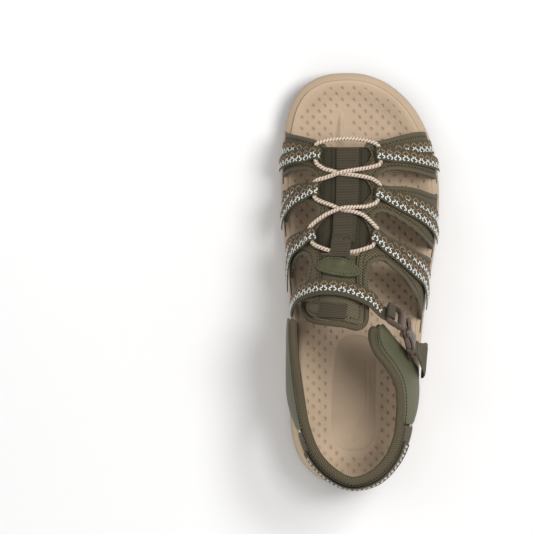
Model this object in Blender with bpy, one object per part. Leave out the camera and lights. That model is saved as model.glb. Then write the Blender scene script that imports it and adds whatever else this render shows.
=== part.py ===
"""Strappy sport sandal for the right foot.

A grooved rubber sole with a foam midsole and a dished footbed carries two open quarters, six ribbon loops
laced with an elastic cord, an ankle strap with a side-release buckle, and a padded heel collar.

Frame: metres, +Z up.  The origin is on the ground under the middle of the sole.  +Y points to the toe and +X
to the outer side of the foot.  The shape functions work in millimetres and make_object turns them to metres.
"""

import math

import bmesh
import bpy
import numpy as np
from mathutils import Matrix, Vector, geometry

MM = 0.001
GAP = 0.3  # clearance between pieces that touch

# ---- Driving dimensions, mm ----------------------------------------------------------------------------

# Sole seen from above, from the toe round the inner side, the heel and the outer side
SOLE_OUTLINE = [
    (-9.5, 132.0), (-24.0, 130.0), (-36.0, 123.0), (-43.5, 112.0), (-47.5, 97.5), (-49.5, 80.0),
    (-50.0, 62.0), (-49.0, 36.5), (-46.5, 11.0), (-44.5, -13.0), (-43.2, -38.5), (-43.2, -61.0),
    (-44.2, -83.5), (-43.0, -100.0), (-37.5, -115.5), (-27.0, -126.0), (-13.5, -131.5), (-1.0, -132.5),
    (11.0, -128.5), (22.0, -119.5), (29.5, -107.0), (34.5, -90.0), (37.5, -70.0), (39.0, -45.0),
    (41.5, -21.0), (45.5, 3.0), (49.0, 26.0), (51.0, 51.0), (49.5, 73.0), (44.5, 91.5), (35.0, 109.5),
    (21.5, 123.0), (6.0, 130.5),
]
RIM_HEIGHT = [(-133, 38), (-80, 35), (-30, 31), (20, 26), (60, 23), (100, 23), (133, 27)]
RIM_RISE = 5.5  # footbed rim above the ledge that the straps stand on
FLAT_FRONT, FLAT_BACK = 75.0, -105.0  # the sole rests on the ground between these
TOE_SPRING, HEEL_BEVEL = 9.0, 3.0
TOE_END, HEEL_END = 132.0, -132.5
OUTSOLE_THICKNESS = 5.0
OUTSOLE_INSET = 1.0
BOND_GAP = 0.5  # between the outsole and the midsole, whose toe and heel both curve
FOOTBED_INSET = 4.8
DISH_DEPTH = [(-133, 8.0), (-60, 6.0), (0, 4.5), (60, 4.0), (133, 4.0)]
DISH_WIDTH = 15.0
RECESS_TOP = 60.0  # the recess cutter reaches above the midsole
ARCH_RISE, ARCH_Y, ARCH_LENGTH = 4.0, -12.0, 34.0
GROOVE_PITCH, GROOVE_WIDTH, GROOVE_DEPTH = 13.0, 3.0, 2.0
SHANK_SIZE = (20.0, 72.0, 1.4)  # nylon stiffener under the arch
SHANK_Y = -28.0

# The instep surface that the straps lie on: an arched section at each Y
CREST_X = -8.6
CREST_HEIGHT = [(-42, 104), (-15, 94), (0, 87), (30, 74), (60, 61), (90, 51), (104, 45)]
STRAP_INSET = 3.0  # foot of the straps, in from the sole's edge
SECTION_POWER = {-1: 2.4, 1: 2.2}  # squareness of the arch on the inner and the outer side
ARC_UNITS = 70.0  # the arch's half width in surface units, about its arc in mm

QUARTER_LAYER = (0.0, 1.8)
GORE_LAYER = (-2.2, -0.6)
WEBBING_THICKNESS = 1.0
LABEL_LAYER = (2.1, 3.6)
TONGUE_LAYER = (-4.4, -1.0)
TAB_LAYER = (-0.4, 1.2)
UNDER_TAIL, UPPER_TAIL = 2.75, 4.05  # mid heights of the two tails of a ribbon loop
RIBBON_WIDTH, RIBBON_THICKNESS = 9.0, 0.7
CORD_DIAMETER = 2.4
EYE_HEIGHT = 4.85  # cord centre inside a ribbon loop
EYE_RADIUS = 2.1  # ribbon centre line round the cord
EYE_HALF = 6.0  # straight stretch of cord each side of a loop's middle
CORD_LOW, CORD_HIGH, CORD_RIDE = 2.5, 5.3, 3.9  # cord centre: under a crossing, over it, elsewhere

# Edges of the two quarters in plan, X and Y
LATERAL_FRONT = [(4, 86), (16.5, 89), (26, 91.5), (35, 93.5), (46, 94)]
LATERAL_WINDOW_1 = [
    (53, 62.5), (42, 66), (32, 68.5), (22.5, 69.5), (15, 68), (11, 64), (13, 60.5), (19, 59), (27, 59),
    (36, 57.5), (43.5, 55), (53, 52.5),
]
LATERAL_WINDOW_2 = [
    (50, 14.5), (42, 23.5), (35, 30.5), (26.5, 36.5), (19, 41), (13, 42.5), (9, 40), (10.5, 34), (15, 29.5),
    (22.5, 25), (31, 21), (38.5, 16.5), (48, 12),
]
LATERAL_REAR = [
    (44, -33.5), (38.5, -26.5), (36.5, -15.5), (32, -6.5), (26.5, 1), (20, 7.5), (14.5, 11.5), (9.5, 11),
    (6.5, 7.5), (5, -0.5), (5, -15),
]
LATERAL_INNER = [
    (-1.5, -15), (-2, -3.5), (-1.5, 13.5), (5, 22.5), (6.5, 28), (4, 35.5), (-0.6, 43), (4, 50), (7.5, 55),
    (5, 61.5), (-0.6, 68.5), (5.5, 75), (7.5, 79.5), (4, 86),
]
MEDIAL_FRONT = [(-22, 86), (-29, 89), (-38, 91.5), (-49, 94.5)]
MEDIAL_WINDOW_1 = [
    (-53, 61.5), (-48, 65), (-43.5, 68.5), (-38.5, 69.5), (-33, 69.5), (-28.5, 67), (-26.5, 63.5),
    (-30.5, 60.5), (-36.5, 59), (-43, 57), (-53, 54.5),
]
MEDIAL_WINDOW_2 = [
    (-53, 28), (-48, 34), (-44.5, 40.5), (-40.5, 45.5), (-35.5, 49), (-30.5, 49), (-26.5, 45.5), (-28, 39.5),
    (-32, 33.5), (-37.5, 28.5), (-42.5, 22.5), (-49, 17.5),
]
MEDIAL_REAR = [
    (-49, -12.5), (-44, -4), (-42, 5), (-39.5, 12), (-36, 15.5), (-32, 14.5), (-31, 10.5), (-32, 3.5),
    (-34, -5), (-36, -13.5),
]
MEDIAL_INNER = [
    (-26.5, -15), (-24.5, -3.5), (-24, 13.5), (-26.5, 21.5), (-28.5, 28), (-25, 35.5), (-18.5, 43.5),
    (-23.5, 51), (-26, 56.5), (-23.5, 62.5), (-18, 68.5), (-23.5, 74.5), (-25, 79.5), (-22, 86),
]
GORE_EDGE = [
    (-29.5, 84), (-9, 84.5), (12, 84), (10.5, 76), (5.5, 67), (10.5, 57), (9.8, 52), (4.6, 42), (8.6, 30),
    (7.5, 24), (4, 18.3), (-12, 18.3), (-28, 18.3), (-31, 27), (-26, 36), (-22.6, 44.5), (-28.8, 53),
    (-28.8, 58), (-22.6, 66.5), (-28, 76),
]
TONGUE_EDGE = [
    (-30.5, 17.5), (-31, 8.5), (-32.5, -1.5), (-36.5, -10.5), (-38, -17), (-36.5, -22.5), (-32, -26),
    (-22, -27), (-10.5, -28), (-2, -30), (2.5, -28.5), (4.8, -24.5), (5, -15.5), (4.6, -4), (4, 9.5),
    (3.5, 17.5),
]
TONGUE_BINDING = TONGUE_EDGE[2:-2]
LABEL_EDGE = [
    (-26.4, 8), (-24.4, 10.8), (-20, 13.4), (-13.5, 13.6), (-7, 11.4), (-2.4, 7.8), (-0.2, 3.8), (-1.8, 1.2),
    (-8, 0.6), (-15, 1.6), (-21, 3.2), (-25, 5.2),
]
TAB_EDGE = [(-24.5, -14.2), (-8, -16.2), (-9.5, -25), (-26.5, -24)]
WEBBING_X, WEBBING_WIDTH = -8.5, 12.4
# Y and height of the centre webbing, which rises over the cord's two ends
WEBBING_ROUTE = [(84, 0.45), (56, 0.45), (31, 0.45), (26, 1.4), (22.5, 4.55), (19, 4.75), (15.4, 4.55)]

# Ribbon loops: the eye's middle, the cord's direction through it (degrees from +Y towards +X), and the plan
# routes of the upper and under tails, which end on the sole's ledge at the last Y
LOOPS = {
    "lateral_ribbon_1": {
        "eye": (11.6, 78.3), "turn": -4, "upper": [(20, 78), (29, 77.5), (38.5, 75.5)], "upper_foot": 72.5,
        "under": [(20, 80.5), (27, 82.3), (36, 83.5)], "under_foot": 84,
    },
    "lateral_ribbon_2": {
        "eye": (11.0, 53.3), "turn": 12, "upper": [(20, 49.5), (29, 44.5), (38.5, 39)], "upper_foot": 27,
        "under": [(20, 51.5), (29, 50), (38.5, 46)], "under_foot": 38,
    },
    "lateral_ribbon_3": {
        "eye": (8.7, 25.5), "turn": 15, "upper": [(16.5, 19.5), (24.5, 13), (32, 6), (38.5, -1)],
        "upper_foot": -15, "under": [(16.5, 21.5), (24.5, 18), (32, 13.5), (38.5, 9)], "under_foot": -1,
    },
    "medial_ribbon_1": {
        "eye": (-26.2, 79.3), "turn": -3, "upper": [(-34, 78), (-39.5, 77.5)], "upper_foot": 73,
        "under": [(-34.5, 81.5), (-41, 83.5)], "under_foot": 83,
    },
    "medial_ribbon_2": {
        "eye": (-26.5, 55.8), "turn": -8, "upper": [(-34, 53.5), (-40.5, 49)], "upper_foot": 36,
        "under": [(-36, 56.5), (-42.5, 54)], "under_foot": 45,
    },
    "medial_ribbon_3": {
        "eye": (-28.0, 26.8), "turn": -24, "upper": [(-36, 22.5), (-41, 15.5)], "upper_foot": -4,
        "under": [(-38, 25), (-43.5, 19.5)], "under_foot": 9,
    },
}
EYE = {  # short names for the cord's route
    "R1": "lateral_ribbon_1", "R2": "lateral_ribbon_2", "R3": "lateral_ribbon_3",
    "L1": "medial_ribbon_1", "L2": "medial_ribbon_2", "L3": "medial_ribbon_3",
}
# Cord, from its end under the keeper to the other: an eye with the way through it (+1 upwards), or a point
CORD_ROUTE = [
    (-12.6, 16.8, CORD_LOW), (-17, 17.2, CORD_LOW), (-22.2, 18.6, CORD_RIDE), ("L3", 1),
    (-24.2, 37.4, CORD_RIDE), (-18.5, 41.0, CORD_RIDE), (-11, 43.4, CORD_HIGH), (-3, 44.6, CORD_RIDE),
    (4.2, 45.2, CORD_RIDE), ("R2", 1),
    (7.2, 63.0, CORD_RIDE), (1.2, 64.6, CORD_RIDE), (-5, 65.6, CORD_RIDE), (-11.6, 66.8, CORD_LOW),
    (-17, 68.1, CORD_RIDE), (-22, 69.7, CORD_RIDE), ("L1", 1),
    (-21, 87.2, CORD_RIDE), (-15, 88.6, CORD_LOW), (-8.2, 89.0, CORD_LOW), (0, 88.4, CORD_LOW),
    (6.8, 86.6, CORD_RIDE), ("R1", -1),
    (6.4, 70.5, CORD_RIDE), (-3, 68.8, CORD_RIDE), (-11.6, 66.8, CORD_HIGH), (-17.6, 65.0, CORD_RIDE),
    (-22.4, 63.2, CORD_RIDE), ("L2", -1),
    (-22.2, 47.8, CORD_RIDE), (-17, 45.6, CORD_RIDE), (-11, 43.4, CORD_LOW), (-4, 41.6, CORD_RIDE),
    (2.6, 39.0, CORD_RIDE), ("R3", -1),
    (2.8, 18.2, CORD_RIDE), (-3.5, 16.9, CORD_LOW), (-8.6, 16.8, CORD_LOW),
]
CORD_POINTS = 100

# Ankle strap in plan, from its foot on the inner ledge to the buckle
ANKLE_FOOT_Y = -18.8
ANKLE_ROUTE = [(-39.6, -14.6), (-35, -9.2), (-25, -6.3), (-15.5, -6.5), (-6, -8.5),
               (1.5, -11.6), (7.5, -15.2)]
ANKLE_WIDTH, ANKLE_THICKNESS, ANKLE_HEIGHT = 10.8, 1.6, 4.0

# Heel collar: top edge and bottom edge, X Y Z, from the outer front round the heel to the inner front
COLLAR_TOP = [
    (10.4, -30.5, 86.5), (10.6, -37, 84), (13.2, -45, 81), (20.2, -55, 77), (25.6, -65.5, 75), (27.2, -77, 75),
    (26.9, -89.5, 77), (24.7, -102.3, 80), (18.9, -114.7, 84), (8.5, -124.9, 87), (-5, -128.8, 88),
    (-17.9, -122.7, 87), (-28.8, -110.6, 84), (-35.4, -93.5, 80), (-38.4, -77, 76), (-41, -58, 74),
    (-42.8, -38.5, 75), (-43.2, -27.3, 78),
]
COLLAR_BOTTOM = [
    (14.5, -31.5, 81), (22.5, -41, 70), (32, -50, 55), (36.2, -57.5, 38), (36, -67.5, 30.6), (35.2, -77, 31.6),
    (33.0, -89.5, 52), (29.6, -103, 57), (22.2, -116, 59), (10.2, -126.6, 60), (-5.2, -129.2, 60),
    (-19.2, -124, 59), (-31.2, -111.4, 57), (-38.2, -94.6, 52), (-42, -79, 31.8), (-41.6, -67.5, 30.6),
    (-41.2, -45, 28.0), (-42, -27.3, 26.4),
]
# How far the collar bulges out halfway down, at each span
COLLAR_BULGE = [
    (0, 2.5), (2, 3.0), (5, 3.5), (6.5, 1.8), (7.5, 2.2), (9, 2.6), (10, 2.3), (11, 2.4), (12, 2.2),
    (13, 1.9), (14.5, 4.0), (17, 3.5),
]
LATERAL_WING = (0.0, 6.15)  # spans along the collar, counted in the points above
HEEL_SLING = (6.25, 12.85)
MEDIAL_WING = (12.95, 17.0)
HEEL_RIBBON = (7.0, 12.2)
RIBBON_DROPS = (0.13, 0.53)
COLLAR_UNIT, COLLAR_DROP = 13.0, 40.0  # surface units per span and for the full drop
SHELL_LAYER, LINING_LAYER, SLING_RIBBON_LAYER = (0.4, 1.8), (-1.9, -0.4), (2.3, 3.1)
BINDING_WIDTH, BINDING_HEIGHT = 5.4, 5.0

# Side-release buckle, in its own axes: length to the sole, width, and height off the ankle
BUCKLE_START = Vector((24.8, -19.6, 92.5))
BUCKLE_TOWARDS = Vector((34.5, -45.0, 63.2))
BUCKLE_UP = Vector((0.97, 0.12, 0.22))
BUCKLE_BEND = 33.0  # the strap frame bends down to the instep by this many degrees
BEND_START, BEND_END = 8.5, 13.5
PLUG_HALF, PLUG_THIN = 1.5, 1.2
STRAP_TURN = 2.6  # centre line of the ankle strap round the plug's bar
SOCKET_MOUTH, SOCKET_END = 14.6, 41.0
SOCKET_HALF_WIDTH, SOCKET_HALF = 7.4, 2.8
CAVITY_END, CAVITY_HALF = 32.0, 1.55
LATCH_PIVOT = (14.8, 5.0)
LATCH_HALF = 1.2
# Half outlines of the plug and of a latch arm: along, across
PLUG_EDGE = [
    (-2.4, 0.0), (-2.4, 6.2), (-1.2, 7.4), (4.0, 7.4), (8.5, 7.2), (10.2, 7.0), (11.8, 6.6), (13.5, 6.3),
    (14.0, 6.3), (14.0, 1.7), (28.0, 1.3), (30.0, 0.0),
]
LATCH_EDGE = [
    (0.0, -1.4), (0.0, 1.4), (6.0, 1.2), (9.0, 3.2), (13.0, 3.9), (16.5, 1.0), (16.5, -1.0), (12.0, -0.6),
    (7.0, -0.9),
]
GUIDE_START = 14.0  # where the plug's frame ends and its middle guide begins
PLUG_WINDOW, SOCKET_SLOT = (0.8, 7.6, 5.8), (35.0, 38.4, 6.0)  # start, end, half width
SOCKET_WAIST, SOCKET_THINNING, SOCKET_BAR = 1.4, 1.4, 2.6
ANCHOR_WIDTH, ANCHOR_THICKNESS = 11.0, 1.5
ANCHOR_TURN = 2.9
ANCHOR_ROUTE = [(40.6, -49.6, 53.5), (41.9, -51, 46), (41.9, -51.6, 38.5), (40.9, -51.8, 31.5)]
ANCHOR_FLARE = 2.1  # its foot is this many times as wide as its top
ANCHOR_SPREAD = 0.35  # how early it widens on its way down: small is early

# Colour, roughness and metallic value of each material
LOOKS = {
    "outsole_rubber": ((0.030, 0.024, 0.018), 0.8, 0.0),
    "midsole_foam": ((0.50, 0.39, 0.28), 0.8, 0.0),
    "shank_nylon": ((0.02, 0.02, 0.02), 0.5, 0.0),
    "footbed_foam": ((0.53, 0.41, 0.30), 0.85, 0.0),
    "quarter_knit": ((0.060, 0.062, 0.038), 0.9, 0.0),
    "gore_knit": ((0.045, 0.042, 0.030), 0.95, 0.0),
    "webbing_grosgrain": ((0.10, 0.10, 0.06), 0.85, 0.0),
    "ribbon_weave": ((0.30, 0.26, 0.20), 0.8, 0.0),
    "cord_braid": ((0.52, 0.38, 0.30), 0.8, 0.0),
    "label_rubber": ((0.11, 0.14, 0.07), 0.5, 0.0),
    "tongue_mesh": ((0.10, 0.105, 0.07), 0.95, 0.0),
    "binding_knit": ((0.085, 0.08, 0.05), 0.95, 0.0),
    "wing_fabric": ((0.13, 0.14, 0.085), 0.7, 0.0),
    "buckle_plastic": ((0.23, 0.15, 0.13), 0.45, 0.0),
}


# ---- Curves and outlines -------------------------------------------------------------------------------

def table_value(table, position):
    """Smooth value at a position, through a table of (position, value) pairs."""
    xs, ys = np.array(table, float).T
    slopes = np.gradient(ys, xs)
    position = float(np.clip(position, xs[0], xs[-1]))
    i = int(np.clip(np.searchsorted(xs, position) - 1, 0, len(xs) - 2))
    step = xs[i + 1] - xs[i]
    t = (position - xs[i]) / step
    start = (1 + 2 * t) * (1 - t) ** 2 * ys[i] + t * (1 - t) ** 2 * step * slopes[i]
    end = t * t * (3 - 2 * t) * ys[i + 1] + t * t * (t - 1) * step * slopes[i + 1]
    return start + end


def smooth_path(points, count, closed=False):
    """Points evenly spaced along a Catmull-Rom curve through the given points, of any dimension."""
    points = np.array(points, float)
    if closed:
        padded = np.vstack([points[-1], points, points[:2]])
    else:
        padded = np.vstack([2 * points[0] - points[1], points, 2 * points[-1] - points[-2]])
    fine = []
    t = np.linspace(0, 1, 12, endpoint=False)[:, None]
    for p0, p1, p2, p3 in zip(padded, padded[1:], padded[2:], padded[3:]):
        fine.append(0.5 * (2 * p1 + (p2 - p0) * t + (2 * p0 - 5 * p1 + 4 * p2 - p3) * t ** 2
                           + (3 * p1 - p0 - 3 * p2 + p3) * t ** 3))
    fine = np.vstack(fine + [padded[-2][None]])
    along = np.concatenate([[0], np.cumsum(np.linalg.norm(np.diff(fine, axis=0), axis=1))])
    stops = np.linspace(0, along[-1], count + 1 if closed else count)
    even = np.column_stack([np.interp(stops, along, column) for column in fine.T])
    return even[:-1] if closed else even


def loop_area(loop):
    x, y = np.array(loop, float).T
    return 0.5 * float(np.sum(x * np.roll(y, -1) - np.roll(x, -1) * y))


def inset(loop, distance):
    """A closed outline moved inwards by a distance."""
    loop = np.array(loop, float)
    along = np.roll(loop, -1, 0) - np.roll(loop, 1, 0)
    along /= np.linalg.norm(along, axis=1)[:, None]
    inward = np.column_stack([-along[:, 1], along[:, 0]]) * math.copysign(1, loop_area(loop))
    return loop + inward * distance


def subdivided(loop, spacing):
    """The same closed outline with points added along its straight sides."""
    made = []
    for a, b in zip(loop, [*loop[1:], loop[0]]):
        count = max(1, round(math.dist(a, b) / spacing))
        made += [(a[0] + (b[0] - a[0]) * i / count, a[1] + (b[1] - a[1]) * i / count) for i in range(count)]
    return made


def inside(point, loop):
    """True where a plan point is inside a closed outline."""
    x, y = point
    a, b = np.array(loop, float), np.roll(np.array(loop, float), -1, 0)
    rows = (a[:, 1] > y) != (b[:, 1] > y)
    a, b = a[rows], b[rows]
    return bool(np.sum(x < a[:, 0] + (y - a[:, 1]) * (b[:, 0] - a[:, 0]) / (b[:, 1] - a[:, 1])) % 2)


def in_material(point, loops):
    """True inside the first outline and outside the rest, which are holes."""
    return inside(point, loops[0]) and not any(inside(point, hole) for hole in loops[1:])


def edge_distance(point, loop):
    """Distance from a plan point to the nearest side of a closed outline."""
    a = np.array(loop, float)
    side = np.roll(a, -1, 0) - a
    t = np.clip(np.sum((np.array(point) - a) * side, 1) / np.sum(side * side, 1), 0, 1)
    return float(np.min(np.linalg.norm(a + side * t[:, None] - point, axis=1)))


SOLE = smooth_path(SOLE_OUTLINE, 76, closed=True)
STRAP_FOOT = inset(SOLE, STRAP_INSET)


def edge_x(loop, y, side):
    """X of an outline at a given Y, on the inner side (-1) or the outer side (+1)."""
    a, b = loop, np.roll(loop, -1, 0)
    rows = (a[:, 1] > y) != (b[:, 1] > y)
    a, b = a[rows], b[rows]
    crossings = a[:, 0] + (y - a[:, 1]) * (b[:, 0] - a[:, 0]) / (b[:, 1] - a[:, 1])
    return float(crossings.max() if side > 0 else crossings.min())


# ---- Heights of the sole -------------------------------------------------------------------------------

def ground_line(y):
    """Underside of the sole: flat, with a lifted toe and a bevelled heel."""
    toe = max(0.0, (y - FLAT_FRONT) / (TOE_END - FLAT_FRONT))
    heel = max(0.0, (FLAT_BACK - y) / (FLAT_BACK - HEEL_END))
    return TOE_SPRING * toe ** 2 + HEEL_BEVEL * heel ** 2


def ledge(y):
    """Top of the midsole, where the straps stand."""
    return table_value(RIM_HEIGHT, y) - RIM_RISE


def bed_floor(y):
    """Floor of the midsole's recess, which the footbed fills."""
    return ledge(y) - table_value(DISH_DEPTH, y)


def footbed_top(x, y, loop):
    """The footbed's dished and arched surface."""
    t = min(1.0, edge_distance((x, y), loop) / DISH_WIDTH)
    dish = table_value(DISH_DEPTH, y) * t * t * (3 - 2 * t)
    arch = ARCH_RISE * math.exp(-((y - ARCH_Y) / ARCH_LENGTH) ** 2) * max(0.0, -x / 45.0) * t
    return table_value(RIM_HEIGHT, y) - dish + arch


# ---- The instep surface --------------------------------------------------------------------------------

def instep(u, y, height=0.0):
    """Point on the arched instep at surface units u across and Y along, raised by a height."""
    def on_surface(u, y):
        a = float(np.clip(u / ARC_UNITS, -0.9995, 0.9995))
        side = -1 if a < 0 else 1
        power = 2 / SECTION_POWER[side]
        foot = ledge(y) + GAP
        reach = edge_x(STRAP_FOOT, y, side) - CREST_X
        angle = abs(a) * math.pi / 2
        return np.array([
            CREST_X + reach * math.sin(angle) ** power, y,
            foot + (table_value(CREST_HEIGHT, y) - foot) * math.cos(angle) ** power,
        ])
    point = on_surface(u, y)
    if not height:
        return point
    return point + instep_normal(u, y, on_surface) * height


def instep_normal(u, y, on_surface=None):
    on_surface = on_surface or instep
    u = float(np.clip(u, -ARC_UNITS + 1, ARC_UNITS - 1))
    across = on_surface(u + 1, y) - on_surface(u - 1, y)
    along = on_surface(u, y + 1) - on_surface(u, y - 1)
    normal = np.cross(across, along)
    return normal / np.linalg.norm(normal)


def to_surface(x, y):
    """Surface units of a point seen from above; past the foot of the straps it stays on the foot."""
    side = -1 if x < CREST_X else 1
    reach = abs(edge_x(STRAP_FOOT, y, side) - CREST_X)
    t = min(1.0, abs(x - CREST_X) / reach) ** (SECTION_POWER[side] / 2)
    return side * ARC_UNITS * math.asin(t) * 2 / math.pi, y


def surface_path(points, spacing):
    """A smooth open line of plan points, as surface units."""
    length = np.sum(np.linalg.norm(np.diff(np.array(points, float), axis=0), axis=1))
    return [to_surface(x, y) for x, y in smooth_path(points, max(3, round(length / spacing)))]


# ---- The collar surface --------------------------------------------------------------------------------

def collar(span, drop, height=0.0):
    """Point on the heel collar: span counts its points, drop runs from the top edge (0) to the bottom (1)."""
    def on_surface(span, drop):
        keys = range(len(COLLAR_TOP))
        top, bottom = (
            np.array([table_value([(k, p[axis]) for k, p in zip(keys, edge)], span) for axis in range(3)])
            for edge in (COLLAR_TOP, COLLAR_BOTTOM)
        )
        outward = np.array([top[0] + 6, top[1] + 80, 0.0])
        outward /= np.linalg.norm(outward)
        return top + (bottom - top) * drop + outward * table_value(COLLAR_BULGE, span) * math.sin(math.pi * drop)
    point = on_surface(span, drop)
    if not height:
        return point
    return point + collar_normal(span, drop, on_surface) * height


def collar_normal(span, drop, on_surface=None):
    on_surface = on_surface or collar
    low, high = max(0.0, span - 0.05), min(len(COLLAR_TOP) - 1.0, span + 0.05)
    across = on_surface(high, drop) - on_surface(low, drop)
    down = on_surface(span, drop + 0.02) - on_surface(span, drop - 0.02)
    normal = np.cross(across, down)
    return normal / np.linalg.norm(normal)


# ---- Builders ------------------------------------------------------------------------------------------

def clear_scene():
    for item in list(bpy.data.objects):
        bpy.data.objects.remove(item, do_unlink=True)


def get_material(name):
    found = bpy.data.materials.get(name)
    if found:
        return found
    colour, roughness, metallic = LOOKS[name]
    made = bpy.data.materials.new(name)
    made.use_nodes = True
    shader = made.node_tree.nodes["Principled BSDF"]
    shader.inputs["Base Color"].default_value = (*colour, 1.0)
    shader.inputs["Roughness"].default_value = roughness
    shader.inputs["Metallic"].default_value = metallic
    return made


def make_object(name, vertices, faces, material, frame=None):
    """A closed mesh object from points in mm; frame places a piece built in its own axes."""
    mesh = bpy.data.meshes.new(name)
    body = bmesh.new()
    corners = [body.verts.new(Vector(v) * MM) for v in vertices]
    for face in faces:
        body.faces.new([corners[i] for i in face])
    bmesh.ops.recalc_face_normals(body, faces=body.faces)
    body.to_mesh(mesh)
    body.free()
    made = bpy.data.objects.new(name, mesh)
    if material:
        mesh.materials.append(get_material(material))
    mesh.shade_smooth()
    mesh.set_sharp_from_angle(angle=math.radians(40))
    if frame is not None:
        made.matrix_world = frame
    bpy.context.collection.objects.link(made)
    return made


def slab(name, outline, upper, lower, material, spacing=9.0, holes=(), frame=None):
    """A closed plate: an outline in two surface units, with holes, mapped to an upper and a lower face."""
    loops = [list(map(tuple, outline))] + [list(map(tuple, hole)) for hole in holes]
    if loop_area(loops[0]) < 0:
        loops[0].reverse()
    low, high = np.min(loops[0], axis=0), np.max(loops[0], axis=0)
    points, sides = [], []
    for loop in loops:
        start = len(points)
        points += [Vector(p) for p in loop]
        sides += [(start + i, start + (i + 1) % len(loop)) for i in range(len(loop))]
    rows = np.arange(low[1] + spacing / 2, high[1], spacing * 0.87)
    for row, v in enumerate(rows):
        for u in np.arange(low[0] + spacing / (1 + row % 2), high[0], spacing):
            clear = min(edge_distance((u, v), loop) for loop in loops)
            if clear > spacing * 0.45 and in_material((u, v), loops):
                points.append(Vector((u, v)))
    flat, _, triangles, *_ = geometry.delaunay_2d_cdt(points, sides, [], 0, 1e-6)
    kept = []
    for triangle in triangles:
        middle = sum((flat[i] for i in triangle), Vector((0, 0))) / 3
        if in_material(middle, loops):
            kept.append(tuple(triangle))
    count = len(flat)
    vertices = [upper(*p) for p in flat] + [lower(*p) for p in flat]
    faces = kept + [tuple(i + count for i in reversed(t)) for t in kept]
    edges = {(t[i], t[(i + 1) % 3]) for t in kept for i in range(3)}
    for i, j in edges:
        if (j, i) not in edges:
            faces.append((i, i + count, j + count, j))
    return make_object(name, vertices, faces, material, frame)


def surface_slab(name, outline, layer, material, spacing=9.0):
    """A plate that lies on the instep between two heights."""
    return slab(name, outline, lambda u, y: instep(u, y, layer[1]), lambda u, y: instep(u, y, layer[0]),
                material, spacing)


def sweep(name, centres, across, up, profile, material):
    """A closed bar: a profile of (across, up) offsets carried along centres with their own directions."""
    vertices, faces = [], []
    for centre, side, rise in zip(centres, across, up):
        vertices += [np.array(centre) + side * a + rise * b for a, b in profile]
    count = len(profile)
    for ring in range(len(centres) - 1):
        for i in range(count):
            j = (i + 1) % count
            faces.append((ring * count + i, ring * count + j, (ring + 1) * count + j, (ring + 1) * count + i))
    faces.append(tuple(range(count)))
    faces.append(tuple(len(vertices) - count + i for i in range(count)))
    return make_object(name, vertices, faces, material)


def flat_profile(width, thickness):
    return [(-width / 2, -thickness / 2), (width / 2, -thickness / 2), (width / 2, thickness / 2),
            (-width / 2, thickness / 2)]


def round_profile(width, height, count=8):
    turns = [2 * math.pi * (i + 0.5) / count for i in range(count)]
    return [(width / 2 * math.cos(t) / math.cos(math.pi / count),
             height / 2 * math.sin(t) / math.cos(math.pi / count)) for t in turns]


def path_directions(centres):
    along = np.gradient(np.array(centres, float), axis=0)
    return along / np.linalg.norm(along, axis=1)[:, None]


def unit(vector):
    return np.array(vector, float) / np.linalg.norm(vector)


def box(name, low, high, frame=None):
    """A cutter box, which the build leaves out."""
    corners = [(x, y, z) for x in (low[0], high[0]) for y in (low[1], high[1]) for z in (low[2], high[2])]
    faces = [(0, 1, 3, 2), (4, 6, 7, 5), (0, 4, 5, 1), (2, 3, 7, 6), (0, 2, 6, 4), (1, 5, 7, 3)]
    made = make_object(name, corners, faces, None, frame)
    made.hide_render = True
    made.display_type = "WIRE"
    return made


def cut(target, cutter):
    modifier = target.modifiers.new("cut", "BOOLEAN")
    modifier.operation = "DIFFERENCE"
    modifier.solver = "EXACT"
    modifier.object = cutter


# ---- Sole ----------------------------------------------------------------------------------------------

def build_sole():
    tread = inset(SOLE, OUTSOLE_INSET)
    outsole = slab("outsole", tread, lambda x, y: (x, y, ground_line(y) + OUTSOLE_THICKNESS),
                   lambda x, y: (x, y, ground_line(y)), "outsole_rubber", spacing=14.0)
    number = 0
    for y in np.arange(-118.0, 118.0, GROOVE_PITCH):
        if abs(y) < GROOVE_PITCH / 2:
            continue  # a plain pad under the arch
        number += 1
        base = ground_line(y + GROOVE_WIDTH / 2)
        low, high = (-70, y, base - 12), (70, y + GROOVE_WIDTH, base + GROOVE_DEPTH)
        cut(outsole, box(f"groove_cutter_{number}", low, high))

    midsole = slab("midsole", SOLE, lambda x, y: (x, y, ledge(y)),
                   lambda x, y: (x, y, ground_line(y) + OUTSOLE_THICKNESS + BOND_GAP), "midsole_foam", spacing=14.0)
    width, length, thickness = SHANK_SIZE
    floor = OUTSOLE_THICKNESS + GAP
    cut(midsole, box("shank_pocket_cutter", (-width / 2 - GAP, SHANK_Y - length / 2 - GAP, 0),
                     (width / 2 + GAP, SHANK_Y + length / 2 + GAP, floor + thickness + GAP)))
    ends = [(math.cos(t) * width / 2, math.sin(t) * width / 2) for t in np.linspace(0, math.pi, 7)]
    shank_loop = [(x, SHANK_Y + length / 2 - width / 2 + y) for x, y in ends]
    shank_loop += [(-x, SHANK_Y - length / 2 + width / 2 - y) for x, y in ends]
    slab("shank", shank_loop, lambda x, y: (x, y, floor + thickness), lambda x, y: (x, y, floor), "shank_nylon",
         spacing=30.0)

    recess = slab("footbed_recess_cutter", inset(SOLE, FOOTBED_INSET - GAP), lambda x, y: (x, y, RECESS_TOP),
                  lambda x, y: (x, y, bed_floor(y)), None, spacing=14.0)
    recess.hide_render = True
    recess.display_type = "WIRE"
    cut(midsole, recess)
    bed = inset(SOLE, FOOTBED_INSET)
    slab("footbed", bed, lambda x, y: (x, y, footbed_top(x, y, bed)), lambda x, y: (x, y, bed_floor(y) + GAP),
         "footbed_foam", spacing=11.0)


# ---- Forefoot upper ------------------------------------------------------------------------------------

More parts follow.
